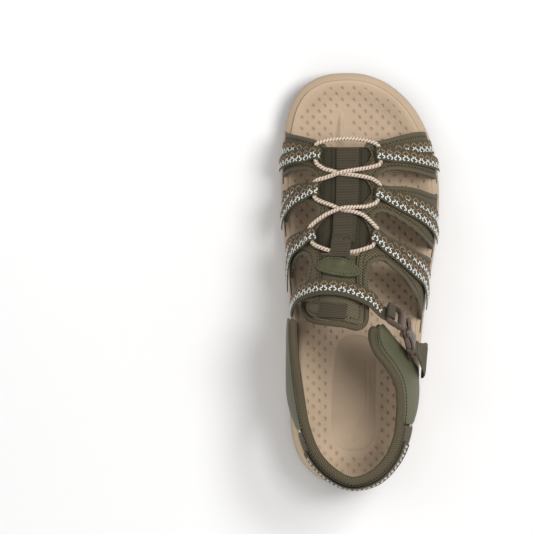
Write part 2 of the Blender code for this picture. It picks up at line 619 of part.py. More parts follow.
def quarter_outline(front, windows, rear, inner):
    """The quarter's edge: across the front, down and up round each window, round the rear, and back up."""
    parts = [front, *windows, rear, inner]
    return [point for part in parts for point in surface_path(part, 5.5)]


def build_quarters():
    lateral = quarter_outline(LATERAL_FRONT, [LATERAL_WINDOW_1, LATERAL_WINDOW_2], LATERAL_REAR, LATERAL_INNER[:-1])
    medial = quarter_outline(MEDIAL_FRONT, [MEDIAL_WINDOW_1, MEDIAL_WINDOW_2], MEDIAL_REAR, MEDIAL_INNER[:-1])
    surface_slab("lateral_quarter", lateral, QUARTER_LAYER, "quarter_knit")
    surface_slab("medial_quarter", medial, QUARTER_LAYER, "quarter_knit")
    gore = [to_surface(x, y) for x, y in smooth_path(GORE_EDGE, 28, closed=True)]
    surface_slab("stretch_gore", gore, GORE_LAYER, "gore_knit", spacing=12.0)


def tail_path(points, foot_y):
    """Plan route of a ribbon tail as surface units, ending on the ledge."""
    side = -1 if points[-1][0] < CREST_X else 1
    return [to_surface(x, y) for x, y in points] + [(side * ARC_UNITS * 0.985, foot_y)]


def build_loop(name, spec):
    """A ribbon folded round the cord: the upper tail, the fold, and the under tail, in one strip."""
    eye = spec["eye"]
    side = -1 if eye[0] < CREST_X else 1
    normal = instep_normal(*to_surface(*eye))
    middle = instep(*to_surface(*eye)) + normal * EYE_HEIGHT
    through = math.radians(spec["turn"])
    cord_way = np.array([math.sin(through), math.cos(through), 0.0])
    cord_way = unit(cord_way - normal * np.dot(cord_way, normal))
    outward = np.cross(cord_way, normal) * side

    def tail(points, foot_y, rest, lift):
        line = smooth_path(tail_path([eye] + points, foot_y), 14)
        stops = np.concatenate([[0], np.cumsum(np.linalg.norm(np.diff(line, axis=0), axis=1))])
        near = [min(1.0, max(0.0, 1 - (s - 3.0) / 8.0)) for s in stops[1:]]
        return [instep(*p, rest + lift * n ** 2) for p, n in zip(line[1:], near)]

    upper = tail(spec["upper"], spec["upper_foot"], UPPER_TAIL, EYE_HEIGHT + EYE_RADIUS - UPPER_TAIL)
    under = tail(spec["under"], spec["under_foot"], UNDER_TAIL, 0.0)
    fold = [middle + EYE_RADIUS * (math.cos(t) * normal - math.sin(t) * outward)
            for t in np.linspace(0, math.pi, 8)]
    centres = np.array(upper[::-1] + fold + under)
    travel = path_directions(centres)
    count = len(upper)
    across = []
    for i, (centre, way) in enumerate(zip(centres, travel)):
        if i < count:
            flat = np.cross(surface_normal_at(centre), -way)
        elif i < count + len(fold):
            flat = np.cross(normal, outward)
        else:
            flat = np.cross(surface_normal_at(centre), way)
        across.append(unit(flat))
    up = [unit(np.cross(side_way, way)) for side_way, way in zip(across, travel)]
    sweep(name, centres, across, up, flat_profile(RIBBON_WIDTH, RIBBON_THICKNESS), "ribbon_weave")


def surface_normal_at(point):
    """The instep's normal under a point near it."""
    return instep_normal(*nearest_on_instep(point))


def nearest_on_instep(point):
    best = min(np.linspace(-ARC_UNITS, ARC_UNITS, 57),
               key=lambda u: np.linalg.norm(instep(u, point[1]) - point))
    return best, point[1]


def cord_centres():
    """The lacing's centre line: through each eye in a straight line, over and under itself between them."""
    route = []
    for stop in CORD_ROUTE:
        if isinstance(stop[0], str):
            spec = LOOPS[EYE[stop[0]]]
            turn = math.radians(spec["turn"])
            normal = instep_normal(*to_surface(*spec["eye"]))
            middle = instep(*to_surface(*spec["eye"])) + normal * EYE_HEIGHT
            way = np.array([math.sin(turn), math.cos(turn), 0.0])
            way = unit(way - normal * np.dot(way, normal)) * stop[1]
            route += [middle + way * reach for reach in (-EYE_HALF, -EYE_HALF / 2, 0, EYE_HALF / 2, EYE_HALF)]
        else:
            route.append(instep(*to_surface(stop[0], stop[1]), stop[2]))
    return smooth_path(route, CORD_POINTS)


def build_cord():
    data = bpy.data.curves.new("bungee_cord", "CURVE")
    data.dimensions = "3D"
    data.bevel_depth = CORD_DIAMETER / 2 * MM
    data.bevel_resolution = 2
    data.use_fill_caps = True
    centres = cord_centres()
    line = data.splines.new("POLY")
    line.points.add(len(centres) - 1)
    for point, centre in zip(line.points, centres):
        point.co = (*(centre * MM), 1.0)
    data.materials.append(get_material("cord_braid"))
    bpy.context.collection.objects.link(bpy.data.objects.new("bungee_cord", data))


def surface_strip(name, route, width, thickness, material):
    """A strap along (u, y, height) stations on the instep."""
    centres = [instep(u, y, height) for u, y, height in route]
    travel = path_directions(centres)
    across = [unit(np.cross(instep_normal(u, y), way)) for (u, y, _), way in zip(route, travel)]
    up = [unit(np.cross(way, side)) for side, way in zip(across, travel)]
    return sweep(name, centres, across, up, flat_profile(width, thickness), material)


def build_centre():
    stations = smooth_path([(*to_surface(WEBBING_X, y), h) for y, h in WEBBING_ROUTE], 22)
    surface_strip("centre_webbing", stations, WEBBING_WIDTH, WEBBING_THICKNESS, "webbing_grosgrain")
    label = [to_surface(x, y) for x, y in smooth_path(LABEL_EDGE, 24, closed=True)]
    surface_slab("label_patch", label, LABEL_LAYER, "label_rubber")


# ---- Tongue and ankle strap ----------------------------------------------------------------------------

def build_tongue():
    edge = inset(smooth_path(TONGUE_EDGE, 40, closed=True), 2.2)
    surface_slab("tongue_pad", [to_surface(x, y) for x, y in edge], TONGUE_LAYER, "tongue_mesh")
    rolled = smooth_path(TONGUE_BINDING, 34)
    middle = sum(TONGUE_LAYER) / 2
    surface_strip("tongue_binding", [(*to_surface(x, y), middle) for x, y in rolled], 3.0, 3.6, "binding_knit")


def tab_frame():
    """The pull tab's hinge: at the middle of its sewn edge, X along the edge and Z off the tongue."""
    left, right = (instep(*to_surface(*p), TAB_LAYER[0]) for p in TAB_EDGE[:2])
    middle_u, middle_y = to_surface(*np.mean(TAB_EDGE[:2], axis=0))
    origin = instep(middle_u, middle_y, TAB_LAYER[0])
    x_axis = unit(right - left)
    z_axis = instep_normal(middle_u, middle_y)
    z_axis = unit(z_axis - x_axis * np.dot(z_axis, x_axis))
    return frame_matrix(origin, x_axis, np.cross(z_axis, x_axis), z_axis)


def frame_matrix(origin, x_axis, y_axis, z_axis):
    rows = np.column_stack([x_axis, y_axis, z_axis, np.array(origin) * MM])
    return Matrix([*map(list, rows), [0, 0, 0, 1]])


def in_frame(frame, point):
    """A world point in mm, seen from a frame."""
    return np.array(frame.inverted() @ Vector(np.array(point) * MM)) / MM


def build_tab():
    frame = tab_frame()
    outline = [to_surface(*p) for p in subdivided(TAB_EDGE, 4.0)]
    slab("pull_tab", outline, lambda u, y: in_frame(frame, instep(u, y, TAB_LAYER[1])),
         lambda u, y: in_frame(frame, instep(u, y, TAB_LAYER[0])), "webbing_grosgrain", 6.0, frame=frame)


def buckle_frame():
    along = unit(BUCKLE_TOWARDS - BUCKLE_START)
    up = np.array(BUCKLE_UP) - along * np.dot(BUCKLE_UP, along)
    up = unit(up)
    return frame_matrix(BUCKLE_START, along, np.cross(up, along), up)


def out_of_frame(frame, point):
    return np.array(frame @ (Vector(point) * MM)) / MM


def bent(s, w, h):
    """A point of the plug, whose strap frame is bent down towards the instep."""
    full = math.radians(BUCKLE_BEND)
    radius = (BEND_END - BEND_START) / full
    turn = min(full, max(0.0, (BEND_END - s) / radius))
    rest = max(0.0, BEND_START - s)
    along = max(s, BEND_END) - radius * math.sin(turn) - rest * math.cos(full) - h * math.sin(turn)
    return along, w, h * math.cos(turn) - radius * (1 - math.cos(turn)) - rest * math.sin(full)


def build_ankle_strap():
    """From its foot on the inner ledge, over the instep, round the plug's bar and back on itself."""
    route = [(-ARC_UNITS * 0.985, ANKLE_FOOT_Y)] + [to_surface(x, y) for x, y in ANKLE_ROUTE]
    on_instep = [instep(u, y, ANKLE_HEIGHT - 1.6 * max(0.0, 1 - i / 3)) for i, (u, y) in enumerate(route)]
    on_instep = list(smooth_path(on_instep, 24))
    frame = buckle_frame()
    approach = [out_of_frame(frame, bent(s, 0, -STRAP_TURN)) for s in (-6.0, -3.0)]
    round_bar = [out_of_frame(frame, bent(STRAP_TURN * math.sin(t), 0, -STRAP_TURN * math.cos(t)))
                 for t in np.linspace(0, math.pi, 8)]
    back = [out_of_frame(frame, bent(s, 0, STRAP_TURN)) for s in (-2.0, -4.0)]
    centres = np.array(on_instep + approach + round_bar + back)
    travel = path_directions(centres)
    buckle_across = np.array(frame.col[1].xyz)
    on_count = len(on_instep)
    across = []
    for i, (centre, way) in enumerate(zip(centres, travel)):
        if i < on_count - 2:
            side = unit(np.cross(surface_normal_at(centre), way))
        else:
            side = unit(buckle_across - way * np.dot(buckle_across, way))
        across.append(side)
    up = [unit(np.cross(way, side)) for side, way in zip(across, travel)]
    sweep("ankle_strap", centres, across, up, flat_profile(ANKLE_WIDTH, ANKLE_THICKNESS), "ribbon_weave")


# ---- Buckle --------------------------------------------------------------------------------------------

def plug_outline():
    """Strap frame, shoulders and the middle guide, from half an outline mirrored about the axis."""
    return PLUG_EDGE + [(s, -w) for s, w in PLUG_EDGE[-2:0:-1]]


def latch_outline(side):
    """A spring arm with the shoulder that snaps out of the socket's side."""
    return [(s, w * side) for s, w in LATCH_EDGE]


def cross_window(start, end, half):
    """A window across the buckle, from start to end along it."""
    return [(start, -half), (start, half), (end, half), (end, -half)]


def build_buckle():
    frame = buckle_frame()

    def thickness(s):
        return PLUG_THIN + (PLUG_HALF - PLUG_THIN) * min(1.0, max(0.0, GUIDE_START - s))

    slab("buckle_plug", plug_outline(), lambda s, w: bent(s, w, thickness(s)),
         lambda s, w: bent(s, w, -thickness(s)), "buckle_plastic", 40.0,
         holes=[cross_window(*PLUG_WINDOW)], frame=frame)
    for name, side in (("latch_arm_front", 1), ("latch_arm_rear", -1)):
        pivot = frame @ Matrix.Translation(Vector((LATCH_PIVOT[0], side * LATCH_PIVOT[1], 0)) * MM)
        slab(name, latch_outline(side), lambda s, w: (s, w, LATCH_HALF), lambda s, w: (s, w, -LATCH_HALF),
             "buckle_plastic", 40.0, frame=pivot)
    build_socket(frame)


def build_socket(frame):
    """A shell open at its mouth and sides, with a slot and a bar for the anchor strap."""
    end, half = SOCKET_END, SOCKET_HALF_WIDTH
    edge = [(SOCKET_MOUTH, half - 1), (17.0, half), (24.0, half - SOCKET_WAIST), (30.0, half),
            (end - 1.5, half), (end, half - 1.5)]
    outline = edge + [(s, -w) for s, w in reversed(edge)]

    def height(s):
        return SOCKET_HALF - SOCKET_THINNING * min(1.0, max(0.0, (s - CAVITY_END) / 3.0))

    socket = slab("buckle_socket", outline, lambda s, w: (s, w, height(s)), lambda s, w: (s, w, -height(s)),
                  "buckle_plastic", 6.0, holes=[cross_window(*SOCKET_SLOT)], frame=frame)
    low, high = (SOCKET_MOUTH - 5, -20, -CAVITY_HALF), (CAVITY_END, 20, CAVITY_HALF)
    cut(socket, box("cavity_cutter", low, high, frame))


def build_anchor():
    """Strap from the outer ledge, up round the socket's bar, ending behind itself."""
    frame = buckle_frame()
    bar = SOCKET_END - SOCKET_BAR / 2
    turn = ANCHOR_TURN
    behind = [out_of_frame(frame, (bar + s, 0, -turn)) for s in (3.0, 1.5)]
    fold = [out_of_frame(frame, (bar - turn * math.sin(t), 0, -turn * math.cos(t)))
            for t in np.linspace(0, math.pi, 8)]
    front = [out_of_frame(frame, (bar + s, 0, turn)) for s in (1.5, 4.0)]
    down = list(smooth_path([front[-1], *map(np.array, ANCHOR_ROUTE)], 9))[1:]
    centres = np.array(behind + fold + front + down)
    travel = path_directions(centres)
    buckle_across = np.array(frame.col[1].xyz)
    foot_across = unit((0.1, 1.0, 0.0))
    first_down = len(behind + fold + front)  # the strap starts to turn and widen here
    across = []
    for i, way in enumerate(travel):
        t = max(0.0, (i - first_down) / (len(centres) - 1 - first_down))
        side = buckle_across * (1 - t) + foot_across * t
        across.append(unit(side - way * np.dot(side, way)) * (1 + (ANCHOR_FLARE - 1) * t ** ANCHOR_SPREAD))
    up = [unit(np.cross(way, side)) for side, way in zip(across, travel)]
    profile = flat_profile(ANCHOR_WIDTH, ANCHOR_THICKNESS)
    sweep("buckle_anchor", centres, across, up, profile, "webbing_grosgrain")


# ---- Heel collar ---------------------------------------------------------------------------------------

def collar_slab(name, span, drops, layer, material, spacing=7.0):
    """A panel of the collar between two spans and two drops."""
    (low, high), (top, bottom) = span, drops
    steps = max(2, round((high - low) * 2.4))
    across = [low + (high - low) * i / steps for i in range(steps + 1)]
    outline = [(k * COLLAR_UNIT, top * COLLAR_DROP) for k in across]
    outline += [(high * COLLAR_UNIT, (top + (bottom - top) * t) * COLLAR_DROP) for t in (1 / 3, 2 / 3)]
    outline += [(k * COLLAR_UNIT, bottom * COLLAR_DROP) for k in reversed(across)]
    outline += [(low * COLLAR_UNIT, (top + (bottom - top) * t) * COLLAR_DROP) for t in (2 / 3, 1 / 3)]
    return slab(name, outline, lambda u, v: collar(u / COLLAR_UNIT, v / COLLAR_DROP, layer[1]),
                lambda u, v: collar(u / COLLAR_UNIT, v / COLLAR_DROP, layer[0]), material, spacing)


def build_collar():
    full = (0.0, 1.0)
    collar_slab("lateral_heel_wing", LATERAL_WING, full, SHELL_LAYER, "wing_fabric")
    collar_slab("medial_heel_wing", MEDIAL_WING, full, SHELL_LAYER, "wing_fabric")
    collar_slab("heel_sling", HEEL_SLING, full, SHELL_LAYER, "wing_fabric")
    collar_slab("collar_lining", (0.0, 17.0), full, LINING_LAYER, "binding_knit")
    collar_slab("heel_ribbon", HEEL_RIBBON, RIBBON_DROPS, SLING_RIBBON_LAYER, "ribbon_weave")
    spans = np.linspace(0.0, 17.0, 46)
    rise = BINDING_HEIGHT / 2 / math.cos(math.pi / 8) + 2 * GAP
    centres = [collar(k, 0.0) + unit(collar(k, 0.0) - collar(k, 0.1)) * rise for k in spans]
    travel = path_directions(centres)
    across = [unit(collar_normal(k, 0.0) - way * np.dot(way, collar_normal(k, 0.0)))
              for k, way in zip(spans, travel)]
    up = [unit(np.cross(side, way)) for side, way in zip(across, travel)]
    sweep("collar_binding", centres, across, up, round_profile(BINDING_WIDTH, BINDING_HEIGHT), "binding_knit")


def main():
    clear_scene()
    build_sole()
    build_quarters()
    for name, spec in LOOPS.items():
        build_loop(name, spec)
    build_cord()
    build_centre()
    build_tongue()
    build_tab()
    build_ankle_strap()
    build_buckle()
    build_anchor()
    build_collar()


main()
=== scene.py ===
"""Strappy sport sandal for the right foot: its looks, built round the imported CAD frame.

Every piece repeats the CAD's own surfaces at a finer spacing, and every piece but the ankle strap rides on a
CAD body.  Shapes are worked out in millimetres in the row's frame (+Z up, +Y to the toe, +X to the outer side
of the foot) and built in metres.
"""
import math

import bmesh
import bpy
import numpy as np
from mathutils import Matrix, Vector, geometry


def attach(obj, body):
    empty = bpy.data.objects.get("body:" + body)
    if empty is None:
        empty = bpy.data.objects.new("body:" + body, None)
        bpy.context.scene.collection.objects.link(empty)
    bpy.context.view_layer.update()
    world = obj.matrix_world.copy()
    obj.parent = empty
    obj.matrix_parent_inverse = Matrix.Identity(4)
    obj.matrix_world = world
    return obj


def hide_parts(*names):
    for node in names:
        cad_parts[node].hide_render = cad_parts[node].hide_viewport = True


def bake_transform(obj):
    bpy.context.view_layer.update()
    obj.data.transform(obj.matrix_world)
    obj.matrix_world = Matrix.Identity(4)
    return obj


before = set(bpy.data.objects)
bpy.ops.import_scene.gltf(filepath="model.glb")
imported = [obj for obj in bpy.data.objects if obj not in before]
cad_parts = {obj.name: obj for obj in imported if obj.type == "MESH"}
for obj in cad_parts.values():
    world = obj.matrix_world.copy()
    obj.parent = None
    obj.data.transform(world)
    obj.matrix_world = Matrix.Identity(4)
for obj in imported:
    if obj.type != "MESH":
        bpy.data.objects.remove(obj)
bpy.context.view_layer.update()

MM = 0.001
GAP = 0.3

# ---- The CAD's dimensions, mm

# Sole seen from above, from the toe round the inner side, the heel and the outer side
SOLE_OUTLINE = [
    (-9.5, 132.0), (-24.0, 130.0), (-36.0, 123.0), (-43.5, 112.0), (-47.5, 97.5), (-49.5, 80.0),
    (-50.0, 62.0), (-49.0, 36.5), (-46.5, 11.0), (-44.5, -13.0), (-43.2, -38.5), (-43.2, -61.0),
    (-44.2, -83.5), (-43.0, -100.0), (-37.5, -115.5), (-27.0, -126.0), (-13.5, -131.5), (-1.0, -132.5),
    (11.0, -128.5), (22.0, -119.5), (29.5, -107.0), (34.5, -90.0), (37.5, -70.0), (39.0, -45.0),
    (41.5, -21.0), (45.5, 3.0), (49.0, 26.0), (51.0, 51.0), (49.5, 73.0), (44.5, 91.5), (35.0, 109.5),
    (21.5, 123.0), (6.0, 130.5),
]
RIM_HEIGHT = [(-133, 38), (-80, 35), (-30, 31), (20, 26), (60, 23), (100, 23), (133, 27)]
RIM_RISE = 5.5
FLAT_FRONT, FLAT_BACK = 75.0, -105.0
TOE_SPRING, HEEL_BEVEL = 9.0, 3.0
TOE_END, HEEL_END = 132.0, -132.5
OUTSOLE_THICKNESS, BOND_GAP = 5.0, 0.5
FOOTBED_INSET = 4.8
SEAM_CLOSING = 0.24  # the pressed seam round the footbed is narrower than the gap
DISH_DEPTH = [(-133, 8.0), (-60, 6.0), (0, 4.5), (60, 4.0), (133, 4.0)]
DISH_WIDTH = 15.0
ARCH_RISE, ARCH_Y, ARCH_LENGTH = 4.0, -12.0, 34.0

# The instep surface that the straps lie on
CREST_X = -8.6
CREST_HEIGHT = [(-42, 104), (-15, 94), (0, 87), (30, 74), (60, 61), (90, 51), (104, 45)]
STRAP_INSET = 3.0
INNER_POWER, OUTER_POWER = 2.4, 2.2
ARC_UNITS = 70.0

QUARTER_LAYER = (0.0, 1.8)
GORE_LAYER = (-2.2, -0.6)
LABEL_LAYER = (2.1, 3.6)
TONGUE_LAYER = (-4.4, -1.0)
TAB_LAYER = (-0.4, 1.2)
UNDER_TAIL, UPPER_TAIL = 2.75, 4.05
RIBBON_WIDTH, RIBBON_THICKNESS = 9.0, 0.7
CORD_DIAMETER, BRAID_RELIEF = 2.4, 0.3
EYE_HEIGHT, EYE_RADIUS, EYE_HALF = 4.85, 2.1, 6.0
CORD_LOW, CORD_HIGH, CORD_RIDE = 2.5, 5.3, 3.9

# Edges of the two quarters in plan, X and Y
LATERAL = {
    "front": [(4, 86), (16.5, 89), (26, 91.5), (35, 93.5), (46, 94)],
    "windows": [
        [(53, 62.5), (42, 66), (32, 68.5), (22.5, 69.5), (15, 68), (11, 64), (13, 60.5), (19, 59), (27, 59),
         (36, 57.5), (43.5, 55), (53, 52.5)],
        [(50, 14.5), (42, 23.5), (35, 30.5), (26.5, 36.5), (19, 41), (13, 42.5), (9, 40), (10.5, 34),
         (15, 29.5), (22.5, 25), (31, 21), (38.5, 16.5), (48, 12)],
    ],
    "rear": [(44, -33.5), (38.5, -26.5), (36.5, -15.5), (32, -6.5), (26.5, 1), (20, 7.5), (14.5, 11.5),
             (9.5, 11), (6.5, 7.5), (5, -0.5), (5, -15)],
    "inner": [(-1.5, -15), (-2, -3.5), (-1.5, 13.5), (5, 22.5), (6.5, 28), (4, 35.5), (-0.6, 43), (4, 50),
              (7.5, 55), (5, 61.5), (-0.6, 68.5), (5.5, 75), (7.5, 79.5), (4, 86)],
}
MEDIAL = {
    "front": [(-22, 86), (-29, 89), (-38, 91.5), (-49, 94.5)],
    "windows": [
        [(-53, 61.5), (-48, 65), (-43.5, 68.5), (-38.5, 69.5), (-33, 69.5), (-28.5, 67), (-26.5, 63.5),
         (-30.5, 60.5), (-36.5, 59), (-43, 57), (-53, 54.5)],
        [(-53, 28), (-48, 34), (-44.5, 40.5), (-40.5, 45.5), (-35.5, 49), (-30.5, 49), (-26.5, 45.5),
         (-28, 39.5), (-32, 33.5), (-37.5, 28.5), (-42.5, 22.5), (-49, 17.5)],
    ],
    "rear": [(-49, -12.5), (-44, -4), (-42, 5), (-39.5, 12), (-36, 15.5), (-32, 14.5), (-31, 10.5),
             (-32, 3.5), (-34, -5), (-36, -13.5)],
    "inner": [(-26.5, -15), (-24.5, -3.5), (-24, 13.5), (-26.5, 21.5), (-28.5, 28), (-25, 35.5),
              (-18.5, 43.5), (-23.5, 51), (-26, 56.5), (-23.5, 62.5), (-18, 68.5), (-23.5, 74.5),
              (-25, 79.5), (-22, 86)],
}
GORE_EDGE = [
    (-29.5, 84), (-9, 84.5), (12, 84), (10.5, 76), (5.5, 67), (10.5, 57), (9.8, 52), (4.6, 42), (8.6, 30),
    (7.5, 24), (4, 18.3), (-12, 18.3), (-28, 18.3), (-31, 27), (-26, 36), (-22.6, 44.5), (-28.8, 53),
    (-28.8, 58), (-22.6, 66.5), (-28, 76),
]
TONGUE_EDGE = [
    (-30.5, 17.5), (-31, 8.5), (-32.5, -1.5), (-36.5, -10.5), (-38, -17), (-36.5, -22.5), (-32, -26),
    (-22, -27), (-10.5, -28), (-2, -30), (2.5, -28.5), (4.8, -24.5), (5, -15.5), (4.6, -4), (4, 9.5),
    (3.5, 17.5),
]
LABEL_EDGE = [
    (-26.4, 8), (-24.4, 10.8), (-20, 13.4), (-13.5, 13.6), (-7, 11.4), (-2.4, 7.8), (-0.2, 3.8), (-1.8, 1.2),
    (-8, 0.6), (-15, 1.6), (-21, 3.2), (-25, 5.2),
]
TAB_EDGE = [(-24.5, -14.2), (-8, -16.2), (-9.5, -25), (-26.5, -24)]
TAB_WIDTH, TAB_LENGTH = 17, 10.0

# Ribbon loops: the eye's middle, the cord's direction through it, and the routes of the two tails
LOOPS = {
    "lateral_ribbon_1": {
        "eye": (11.6, 78.3), "turn": -4, "upper": [(20, 78), (29, 77.5), (38.5, 75.5)], "upper_foot": 72.5,
        "under": [(20, 80.5), (27, 82.3), (36, 83.5)], "under_foot": 84,
    },
    "lateral_ribbon_2": {
        "eye": (11.0, 53.3), "turn": 12, "upper": [(20, 49.5), (29, 44.5), (38.5, 39)], "upper_foot": 27,
        "under": [(20, 51.5), (29, 50), (38.5, 46)], "under_foot": 38,
    },
    "lateral_ribbon_3": {
        "eye": (8.7, 25.5), "turn": 15, "upper": [(16.5, 19.5), (24.5, 13), (32, 6), (38.5, -1)],
        "upper_foot": -15, "under": [(16.5, 21.5), (24.5, 18), (32, 13.5), (38.5, 9)], "under_foot": -1,
    },
    "medial_ribbon_1": {
        "eye": (-26.2, 79.3), "turn": -3, "upper": [(-34, 78), (-39.5, 77.5)], "upper_foot": 73,
        "under": [(-34.5, 81.5), (-41, 83.5)], "under_foot": 83,
    },
    "medial_ribbon_2": {
        "eye": (-26.5, 55.8), "turn": -8, "upper": [(-34, 53.5), (-40.5, 49)], "upper_foot": 36,
        "under": [(-36, 56.5), (-42.5, 54)], "under_foot": 45,
    },
    "medial_ribbon_3": {
        "eye": (-28.0, 26.8), "turn": -24, "upper": [(-36, 22.5), (-41, 15.5)], "upper_foot": -4,
        "under": [(-38, 25), (-43.5, 19.5)], "under_foot": 9,
    },
}
EYE = {
    "R1": "lateral_ribbon_1", "R2": "lateral_ribbon_2", "R3": "lateral_ribbon_3",
    "L1": "medial_ribbon_1", "L2": "medial_ribbon_2", "L3": "medial_ribbon_3",
}
CORD_ROUTE = [
    (-12.6, 16.8, CORD_LOW), (-17, 17.2, CORD_LOW), (-22.2, 18.6, CORD_RIDE), ("L3", 1),
    (-24.2, 37.4, CORD_RIDE), (-18.5, 41.0, CORD_RIDE), (-11, 43.4, CORD_HIGH), (-3, 44.6, CORD_RIDE),
    (4.2, 45.2, CORD_RIDE), ("R2", 1),
    (7.2, 63.0, CORD_RIDE), (1.2, 64.6, CORD_RIDE), (-5, 65.6, CORD_RIDE), (-11.6, 66.8, CORD_LOW),
    (-17, 68.1, CORD_RIDE), (-22, 69.7, CORD_RIDE), ("L1", 1),
    (-21, 87.2, CORD_RIDE), (-15, 88.6, CORD_LOW), (-8.2, 89.0, CORD_LOW), (0, 88.4, CORD_LOW),
    (6.8, 86.6, CORD_RIDE), ("R1", -1),
    (6.4, 70.5, CORD_RIDE), (-3, 68.8, CORD_RIDE), (-11.6, 66.8, CORD_HIGH), (-17.6, 65.0, CORD_RIDE),
    (-22.4, 63.2, CORD_RIDE), ("L2", -1),
    (-22.2, 47.8, CORD_RIDE), (-17, 45.6, CORD_RIDE), (-11, 43.4, CORD_LOW), (-4, 41.6, CORD_RIDE),
    (2.6, 39.0, CORD_RIDE), ("R3", -1),
    (2.8, 18.2, CORD_RIDE), (-3.5, 16.9, CORD_LOW), (-8.6, 16.8, CORD_LOW),
]

ANKLE_FOOT_Y = -18.8
ANKLE_ROUTE = [(-39.6, -14.6), (-35, -9.2), (-25, -6.3), (-15.5, -6.5), (-6, -8.5), (1.5, -11.6),
               (7.5, -15.2)]
ANKLE_WIDTH, ANKLE_THICKNESS, ANKLE_HEIGHT = 10.8, 1.6, 4.0

# Heel collar: top and bottom edge, X Y Z, from the outer front round the heel to the inner front
COLLAR_TOP = [
    (10.4, -30.5, 86.5), (10.6, -37, 84), (13.2, -45, 81), (20.2, -55, 77), (25.6, -65.5, 75),
    (27.2, -77, 75),
    (26.9, -89.5, 77), (24.7, -102.3, 80), (18.9, -114.7, 84), (8.5, -124.9, 87), (-5, -128.8, 88),
    (-17.9, -122.7, 87), (-28.8, -110.6, 84), (-35.4, -93.5, 80), (-38.4, -77, 76), (-41, -58, 74),
    (-42.8, -38.5, 75), (-43.2, -27.3, 78),
]
COLLAR_BOTTOM = [
    (14.5, -31.5, 81), (22.5, -41, 70), (32, -50, 55), (36.2, -57.5, 38), (36, -67.5, 30.6),
    (35.2, -77, 31.6),
    (33.0, -89.5, 52), (29.6, -103, 57), (22.2, -116, 59), (10.2, -126.6, 60), (-5.2, -129.2, 60),
    (-19.2, -124, 59), (-31.2, -111.4, 57), (-38.2, -94.6, 52), (-42, -79, 31.8), (-41.6, -67.5, 30.6),
    (-41.2, -45, 28.0), (-42, -27.3, 26.4),
]
# How far the collar bulges out halfway down, at each span
COLLAR_BULGE = [
    (0, 2.5), (2, 3.0), (5, 3.5), (6.5, 1.8), (7.5, 2.2), (9, 2.6), (10, 2.3), (11, 2.4), (12, 2.2),
    (13, 1.9), (14.5, 4.0), (17, 3.5),
]
LATERAL_WING = (0.0, 6.15)
HEEL_SLING = (6.25, 12.85)
MEDIAL_WING = (12.95, 17.0)
HEEL_RIBBON = (7.0, 12.2)
RIBBON_DROPS = (0.13, 0.53)
SPAN_LENGTH, DROP_LENGTH = 13.0, 40.0  # about one span and the full drop, for the weave's scale
SHELL_LAYER, LINING_LAYER, SLING_RIBBON_LAYER = (0.4, 1.8), (-1.9, -0.4), (2.3, 3.1)
BINDING_HEIGHT, HEEL_RIBBON_WIDTH = 5.0, 10.5

BUCKLE_START = (24.8, -19.6, 92.5)
BUCKLE_TOWARDS = (34.5, -45.0, 63.2)
BUCKLE_UP = (0.97, 0.12, 0.22)
BUCKLE_BEND = 33.0  # the strap frame bends down to the instep by this many degrees
BEND_START, BEND_END = 8.5, 13.5
SOCKET_MOUTH, SOCKET_END, SOCKET_HALF_WIDTH, SOCKET_HALF = 14.6, 41.0, 7.4, 2.8
CAVITY_END, CAVITY_HALF = 32.0, 1.55
PLUG_HALF, PLUG_THIN = 1.5, 1.2
STRAP_TURN = 2.6
LATCH_PIVOT, LATCH_HALF = (14.8, 5.0), 1.2
# Half outlines of the plug and of a latch arm: along, across
PLUG_EDGE = [(-2.4, 6.2), (-1.2, 7.4), (4.0, 7.4), (8.5, 7.2), (10.2, 7.0), (11.8, 6.6), (14.0, 6.3),
             (14.0, 1.7), (28.0, 1.3), (29.6, 0.5)]
LATCH_EDGE = [(0.0, -1.4), (0.0, 1.4), (6.0, 1.2), (9.0, 3.2), (13.0, 3.9), (16.5, 1.0), (16.5, -1.0),
              (12.0, -0.6), (7.0, -0.9)]
PLUG_WINDOW, SOCKET_SLOT = (0.8, 7.6, 5.8), (35.0, 38.4, 6.0)  # start, end, half width
SOCKET_BAR = 2.6
ANCHOR_WIDTH, ANCHOR_THICKNESS, ANCHOR_TURN, ANCHOR_FLARE = 11.0, 1.5, 2.9, 2.1
ANCHOR_SPREAD = 0.35
ANCHOR_ROUTE = [(40.6, -49.6, 53.5), (41.9, -51, 46), (41.9, -51.6, 38.5), (40.9, -51.8, 31.5)]


# ---- Numbers and curves

def unit(vectors):
    vectors = np.asarray(vectors, float)
    return vectors / np.linalg.norm(vectors, axis=-1, keepdims=True)


def smooth_step(low, high, value):
    t = np.clip((np.asarray(value, float) - low) / (high - low), 0, 1)
    return t * t * (3 - 2 * t)


def table_value(table, position):
    """Smooth values at one or many positions, through a table of (position, value) pairs."""
    xs, ys = np.array(table, float).T
    slopes = np.gradient(ys, xs)
    position = np.clip(np.asarray(position, float), xs[0], xs[-1])
    i = np.clip(np.searchsorted(xs, position) - 1, 0, len(xs) - 2)
    step = xs[i + 1] - xs[i]
    t = (position - xs[i]) / step
    start = (1 + 2 * t) * (1 - t) ** 2 * ys[i] + t * (1 - t) ** 2 * step * slopes[i]
    end = t * t * (3 - 2 * t) * ys[i + 1] + t * t * (t - 1) * step * slopes[i + 1]
    return start + end


